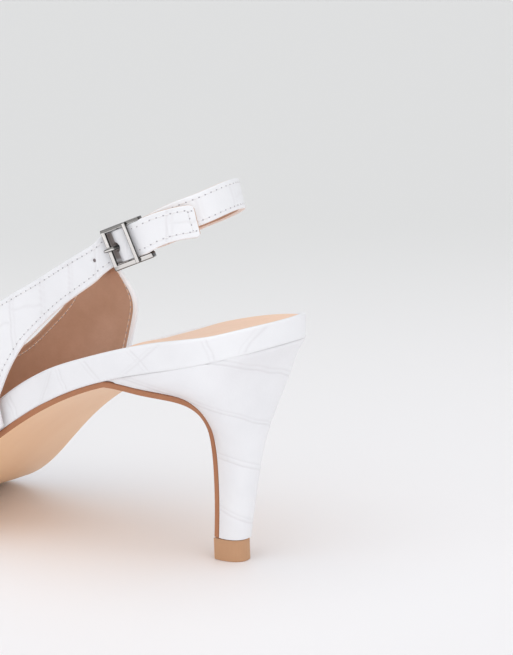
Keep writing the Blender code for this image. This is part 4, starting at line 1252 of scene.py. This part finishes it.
def strap_sections():
    """Centre line, outward normal, up direction and thickness along the whole back strap."""
    wrap = REAR_BAR[2] + GAP + STRAP_THIN / 2
    route = [(10.2, -3.05), (9.0, -3.17), (7.6, -3.3), (6.4, -3.12)]
    for t in np.radians(np.linspace(-90, -270, 25)):
        route.append((REAR_BAR[0] + wrap * math.cos(t), REAR_BAR[1] + wrap * math.sin(t)))
    middles = np.array([buckle_point(*at) for at in route])
    tangents = unit(np.gradient(middles, axis=0))
    tangents[-1] = BUCKLE_L
    sections = [(middle, -np.cross(BUCKLE_W, tangent), BUCKLE_W, STRAP_THIN)
                for middle, tangent in zip(middles, tangents)]
    for at in np.concatenate((np.linspace(3.2, 9.0, 12), np.linspace(9.5, BASE_LENGTHS[-1], count(230)))):
        _, outward, width = ribbon_frame(at)
        thick = STRAP_THIN + (STRAP_THICK - STRAP_THIN) * float(smoothstep(2.2, 8.0, at))
        sections.append((BASE(at) - outward * thick / 2, outward, width, thick))
    return [np.array(part) for part in zip(*sections)]


def build_back_strap():
    """The back strap, and the two lines of its stitches with their normals."""
    centre, out, up, thick = strap_sections()
    half_thick = (thick / 2)[:, None]
    flat = STRAP_HALF - STRAP_EDGE

    def place(profile):
        """Rows along the strap: a profile's points are across it, and out from its outer face."""
        return np.stack([centre + up * w + out * half_thick + out * n for w, n in profile], axis=1)

    width = np.linspace(-flat, flat, 26)
    face = place([(w, 0.0) for w in width])
    u, v = np.meshgrid(arc_length(centre), width, indexing="ij")
    depth = scale_depth(u + 5, v + 30, 15.0, 24.0, 0.42, 4.0)
    depth = 0.7 * depth * np.clip((flat - np.abs(width)) / 1.2, 0, 1)
    depth[:WRAP_ROWS] = 0
    body = Builder()
    body.grid(face - out[:, None, :] * (depth * CREASE)[..., None], 0, depth)
    corner = [(flat + EDGE_ROUND * math.sin(a) + 0.2, -EDGE_ROUND + EDGE_ROUND * math.cos(a))
              for a in np.radians((20, 40, 60, 80, 90))]
    for sign, last in ((1, -1), (-1, 0)):
        edge = place([(sign * w, n) for w, n in corner])
        rows = np.concatenate((face[:, last][:, None, :], edge), axis=1)
        body.grid(rows[:, ::sign])
        near = centre + up * (sign * (flat + 0.5)) - out * (thick / 2 - 0.25)[:, None]
        inner = centre + up * (sign * (flat + 0.2)) - out * half_thick
        body.grid(np.stack((edge[:, -1], near, inner), axis=1), 1)
    inner_width = np.linspace(-flat - 0.2, flat + 0.2, 8)
    back = np.stack([centre + up * w - out * half_thick for w in inner_width], axis=1)
    body.grid(back, 2)
    corners = place([(-STRAP_HALF, -EDGE_ROUND), (STRAP_HALF, -EDGE_ROUND)])
    for r in (0, -1):
        body.grid(np.stack((corners[r], back[r, [0, -1]])), 1)
    made = body.make("back_strap_leather", [WHITE, EDGE_PAINT, LINING])
    stitched = slice(WRAP_ROWS + 6, None)
    seams = []
    for w in (STRAP_HALF - SEAM_INSET, SEAM_INSET - STRAP_HALF):
        line = centre + up * w + out * half_thick
        seams.append((line[stitched], out[stitched]))
    return made, seams


# ---- buckle
HALF_LENGTH, HALF_HEIGHT, LOWER_HEIGHT, WINDOW = 6.0, 5.75, 6.25, 4.75
WALL_OUT = (-2.6, 0.75)  # from and to outwards, for the side walls
HINGE = (-1.7, -2.0, 0.45)  # along, out, radius
PRONG_RADIUS = 0.45
PRONG_ROUTE = ((-2.85, -0.3), (-3.0, 0.6), (-3.5, 1.25), (-4.4, 1.45), (-5.6, 1.46), (-6.7, 1.4))
PRONG_TIP = 0.45
KEEPER = (0.95, 2.15, 0.95, 1.7)  # from and to along the strap, under and over it
RING_POINTS = 20


def soft_box(along, out, up, soft, lean=0.0):
    """A bar between pairs of numbers in the buckle's axes, its edges rounded and its face leaning."""
    body = bmesh.new()
    bmesh.ops.create_cube(body, size=1.0)
    for v in body.verts:
        a, n, w = (pair[0] + (pair[1] - pair[0]) * (at + 0.5) for pair, at in zip((along, out, up), v.co))
        n -= abs(lean) * (v.co.y > 0) * (v.co.z * lean > 0)
        v.co = Vector((buckle_point(a, n, w) * MM).tolist())
    bmesh.ops.reverse_faces(body, faces=body.faces)
    bmesh.ops.bevel(body, geom=body.edges[:], offset=soft * MM, segments=4, profile=0.5, affect="EDGES")
    return body


def rod(along, out, radius, half):
    """A round bar across the buckle, from its middle a half length both ways."""
    body = bmesh.new()
    rings = [[body.verts.new(buckle_point(along + radius * math.cos(t), out + radius * math.sin(t), w) * MM)
              for t in ring_angles(RING_POINTS)] for w in (-half, half)]
    for k in range(RING_POINTS):
        before = k + 1 - RING_POINTS
        body.faces.new((rings[0][k], rings[0][before], rings[1][before], rings[1][k]))
    body.faces.new(rings[0])
    body.faces.new(rings[1])
    bmesh.ops.recalc_face_normals(body, faces=body.faces)
    return body


def build_buckle_frame():
    """Two side walls, front bar, hinge bar, rear bar and keeper, joined into one casting."""
    inside = WINDOW + 0.5
    first, last, under, over = KEEPER
    post_out = (0.2, over - 0.08)
    bodies = (
        soft_box((-HALF_LENGTH, HALF_LENGTH), WALL_OUT, (WINDOW, HALF_HEIGHT + 0.05), 0.22, 0.32),
        soft_box((-HALF_LENGTH, HALF_LENGTH), WALL_OUT, (-LOWER_HEIGHT - 0.05, -WINDOW), 0.32, -0.42),
        soft_box((-HALF_LENGTH + 0.05, -HALF_LENGTH + 1.3), (-0.5, 0.71), (-inside, inside), 0.26),
        rod(*HINGE, inside),
        rod(*REAR_BAR, inside),
        soft_box((first, last), (under, over), (-LOWER_HEIGHT + 0.08, HALF_HEIGHT - 0.08), 0.24),
        soft_box((first, last), post_out, (WINDOW + 0.04, HALF_HEIGHT - 0.04), 0.2),
        soft_box((first, last), post_out, (0.04 - LOWER_HEIGHT, -0.04 - WINDOW), 0.2),
    )
    parts = []
    for body in bodies:
        mesh = bpy.data.meshes.new("casting_part")
        body.to_mesh(mesh)
        body.free()
        parts.append(link_object("casting_part", mesh))
    for part in parts[1:]:
        union = parts[0].modifiers.new("union", "BOOLEAN")
        union.operation = "UNION"
        union.object = part
    shape = parts[0].evaluated_get(bpy.context.evaluated_depsgraph_get())
    mesh = bpy.data.meshes.new_from_object(shape)
    for part in parts:
        bpy.data.objects.remove(part)
    mesh.name = "buckle_frame_casting"
    mesh.materials.clear()
    mesh.materials.append(METAL)
    mesh.shade_smooth()
    mesh.set_sharp_from_angle(angle=math.radians(35))
    return link_object("buckle_frame_casting", mesh)


def build_prong():
    """The tongue, hooked under the hinge bar and laid over the front bar, in round wire."""
    bend = HINGE[2] + GAP + PRONG_RADIUS
    route = [(HINGE[0] + bend * math.cos(t), HINGE[1] + bend * math.sin(t))
             for t in np.radians((20, -20, -60, -100, -140, -175))]
    route += [(HINGE[0] - bend - 0.02, -1.2), *PRONG_ROUTE]
    knots = np.array([buckle_point(*at) for at in route])
    lengths = arc_length(knots)
    path = spline(lengths, knots)
    tip = lengths[-1] - PRONG_TIP + PRONG_TIP * np.sin(np.linspace(0, np.pi / 2, count(8)))
    rings = []
    for s in np.concatenate((np.linspace(0, tip[0], count(90))[:-1], tip)):
        tangent = unit(path(s + 0.05) - path(s - 0.05))
        side = np.cross(BUCKLE_W, tangent)
        rest = max(lengths[-1] - s, 0.0)
        rounded = math.sqrt(1 - (1 - min(rest / PRONG_TIP, 1.0)) ** 2 * 0.98)
        radius = PRONG_RADIUS * (0.8 + 0.2 * smoothstep(0.0, 2.0, rest)) * rounded
        rings.append([path(s) + BUCKLE_W * radius * 1.25 * math.cos(t) + side * radius * math.sin(t)
                      for t in ring_angles(RING_POINTS)])
    wire = Builder()
    wire.grid(np.array(rings), 0, wrap=True)
    wire.cap(rings[0])
    wire.cap(rings[-1])
    return wire.make("buckle_prong_wire", [METAL])


# ---- making the pieces
TOPLINE_INSET, LOWER_INSET = 1.1, 1.4  # of the stitches from the sheet's edges
LINING_INSET = 0.5  # and how much further in they show on the lining
TAIL_STITCH_ROW = -10  # the row across the strap's tip that is stitched, from the last
TAIL_STITCHED = (0.14, 0.88)  # and the share of its width


def build_stitches(sides, strap_seams):
    """White threads, grey discs of painted shade in the needle holes, the lining's tan threads, and dark
    discs of painted shade at the floors of the punched holes.
    """
    threads, holes, tan_threads, punched = Builder(), Builder(), Builder(), Builder()
    for side, data in sides.items():
        points, normals, closed = data["points"], data["normals"], data["closed"]
        corner = closed + count(THROAT_ROWS) - 1 + corner_rows(side)
        last = len(points) - (4 if side == "lateral" else 0)
        for first, inset, low in ((closed + 3, TOPLINE_INSET, False), (corner + 2, LOWER_INSET, True)):
            rows = range(first, last, 2)
            for part in clear_of_buckle(*offset_line(points, normals, rows, inset, low)):
                stitch_rows(*part, STITCH_PITCH, threads, holes)
            inner_rows = [row for row in rows if row < data["tail_row"] - 2]
            inner = points - normals * (LINING_DEPTH + 0.02)
            line, turned = offset_line(inner, normals, inner_rows, inset + LINING_INSET, low)
            stitch_rows(line, -turned, STITCH_PITCH, tan_threads, holes)
    points, normals = sides["lateral"]["points"], sides["lateral"]["normals"]
    first, last = (int(COLUMN_COUNT["lateral"] * share) for share in TAIL_STITCHED)
    across_tail = TAIL_STITCH_ROW, slice(first, last, 4)
    stitch_rows(points[across_tail], normals[across_tail], STITCH_PITCH * 0.9, threads, holes)
    # a dark disc of painted shade at the floor of each punched hole
    for centre, radius in STRAP_HOLES:
        off = np.linalg.norm(points - centre, axis=-1)
        nearest = np.unravel_index(off.argmin(), off.shape)
        normal = normals[nearest]
        side_on = unit(np.cross(normal, (0.0, 0.0, 1.0)))
        top_on = np.cross(side_on, normal)
        middle = points[nearest] - normal * (HOLE_SINK * 0.75)
        punched.cap([middle + (side_on * math.cos(a) + top_on * math.sin(a)) * radius
                     for a in ring_angles(28)])
    for line, turned in strap_seams:
        stitch_rows(line, turned, STITCH_PITCH, threads, holes)
    return (threads.make("stitch_threads", [THREAD]), holes.make("needle_hole_shade", [NEEDLE_HOLE_SHADE]),
            tan_threads.make("lining_threads", [TAN_THREAD]), punched.make("strap_hole_shade", [PUNCHED_HOLE_SHADE]))


upper_leather, upper_lining, upper_sides = build_upper()
heel_leather = build_heel()
rand_piece = build_rand()
sock_piece = build_sock()
outsole_piece = build_outsole()
strap_piece, strap_seams = build_back_strap()
frame_piece = build_buckle_frame()
prong_piece = build_prong()
thread_piece, hole_shade_piece, tan_thread_piece, punched_shade_piece = build_stitches(upper_sides, strap_seams)

PIECES = (
    (upper_leather, ("upper",), "upper_leather"),
    (upper_lining, ("upper",), "sock_leather"),
    (heel_leather, ("heel",), "upper_leather"),
    (rand_piece, ("footbed",), "upper_leather"),
    (sock_piece, ("footbed",), "sock_leather"),
    (outsole_piece, ("outsole",), "sole_tan"),
    (strap_piece, ("back_strap",), "upper_leather"),
    (thread_piece, (), "upper_leather"),
    (hole_shade_piece, (), "upper_leather"),
    (tan_thread_piece, (), "sock_leather"),
    (punched_shade_piece, (), "upper_leather"),
    (frame_piece, ("buckle_frame",), "buckle_metal"),
    (prong_piece, ("buckle_prong",), "buckle_metal"),
)
for piece, nodes, slot in PIECES:
    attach(piece, "root")
    if nodes:
        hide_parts(*nodes)

for material_slot in bpy.data.objects["top_piece"].material_slots:
    material_slot.link = "OBJECT"
    material_slot.material = TOP_PIECE

# ---- floor, light and camera
FLOOR_HALF = 9.0  # metres
FLOOR_AWAY = unit(np.array((0.58789386, -0.78789635, 0.0)))  # the way across the floor that it darkens
FLOOR_NEAR = (0.90, 0.885, 0.895)
FLOOR_FAR = (0.722, 0.720, 0.712)
SKY = ((0.0, (0.60, 0.61, 0.63)), (0.35, (0.52, 0.53, 0.545)), (1.0, (0.28, 0.285, 0.29)))
SUNS = (  # name, direction, strength, angle across in degrees
    ("key", (0.85, -0.2, -0.55), 0.5, 55.0),
    ("top", (0.0, -0.1, -1.0), 1.2, 80.0),
    ("front", (-0.15, -0.9, -0.4), 0.45, 70.0),
    ("low", (0.92, -0.4, -0.1), 0.15, 40.0),
)
LENS = 117.45
CAMERA_PLACE = (
    (-0.80441075, 0.08546429, -0.58789386, -0.3604997),
    (-0.59333724, -0.16483403, 0.78789635, 0.4695475),
    (-0.02956792, 0.98261162, 0.18330341, 0.1776364),
    (0, 0, 0, 1),
)


def floor_material():
    made, tree, shader = nodes_of("pale_floor")
    place = add_node(tree, "ShaderNodeNewGeometry").outputs["Position"]
    dot = add_node(tree, "ShaderNodeVectorMath", {0: place, 1: FLOOR_AWAY.tolist()}, operation="DOT_PRODUCT")
    inputs = {"Value": dot.outputs["Value"], "From Min": -0.05, "From Max": 0.75}
    span = add_node(tree, "ShaderNodeMapRange", inputs, interpolation_type="SMOOTHSTEP").outputs["Result"]
    grey = mixed(tree, span, (*FLOOR_NEAR, 1.0), (*FLOOR_FAR, 1.0))
    feed(tree, shader, {"Base Color": grey, "Roughness": 0.6})
    return made


def build_floor():
    corners = [(x * FLOOR_HALF, y * FLOOR_HALF, 0) for x, y in ((-1, -1), (1, -1), (1, 1), (-1, 1))]
    mesh = bpy.data.meshes.new("floor")
    mesh.from_pydata(corners, [], [(0, 1, 2, 3)])
    mesh.materials.append(floor_material())
    made = link_object("floor", mesh)


build_floor()
for name, direction, strength, angle in SUNS:
    light = bpy.data.lights.new(name, "SUN")
    light.energy = strength
    light.angle = math.radians(angle)
    link_object(name, light).rotation_euler = Vector(direction).to_track_quat("-Z", "Y").to_euler()

world = bpy.data.worlds.new("studio")
world.use_nodes = True
sky = world.node_tree
skywards = add_node(sky, "ShaderNodeTexCoord").outputs["Generated"]
height = add_node(sky, "ShaderNodeSeparateXYZ", {"Vector": skywards}).outputs["Z"]
feed(sky, sky.nodes["Background"], {"Color": ramp(sky, height, SKY), "Strength": 1.25})
bpy.context.scene.world = world

camera_data = bpy.data.cameras.new("camera")
camera_data.sensor_fit = "VERTICAL"
camera_data.sensor_height = 36.0
camera_data.lens = LENS
camera_data.clip_start = 0.01
camera = link_object("camera", camera_data)
camera.matrix_world = Matrix(CAMERA_PLACE)
bpy.context.scene.camera = camera
bpy.context.scene.view_settings.view_transform = "Standard"
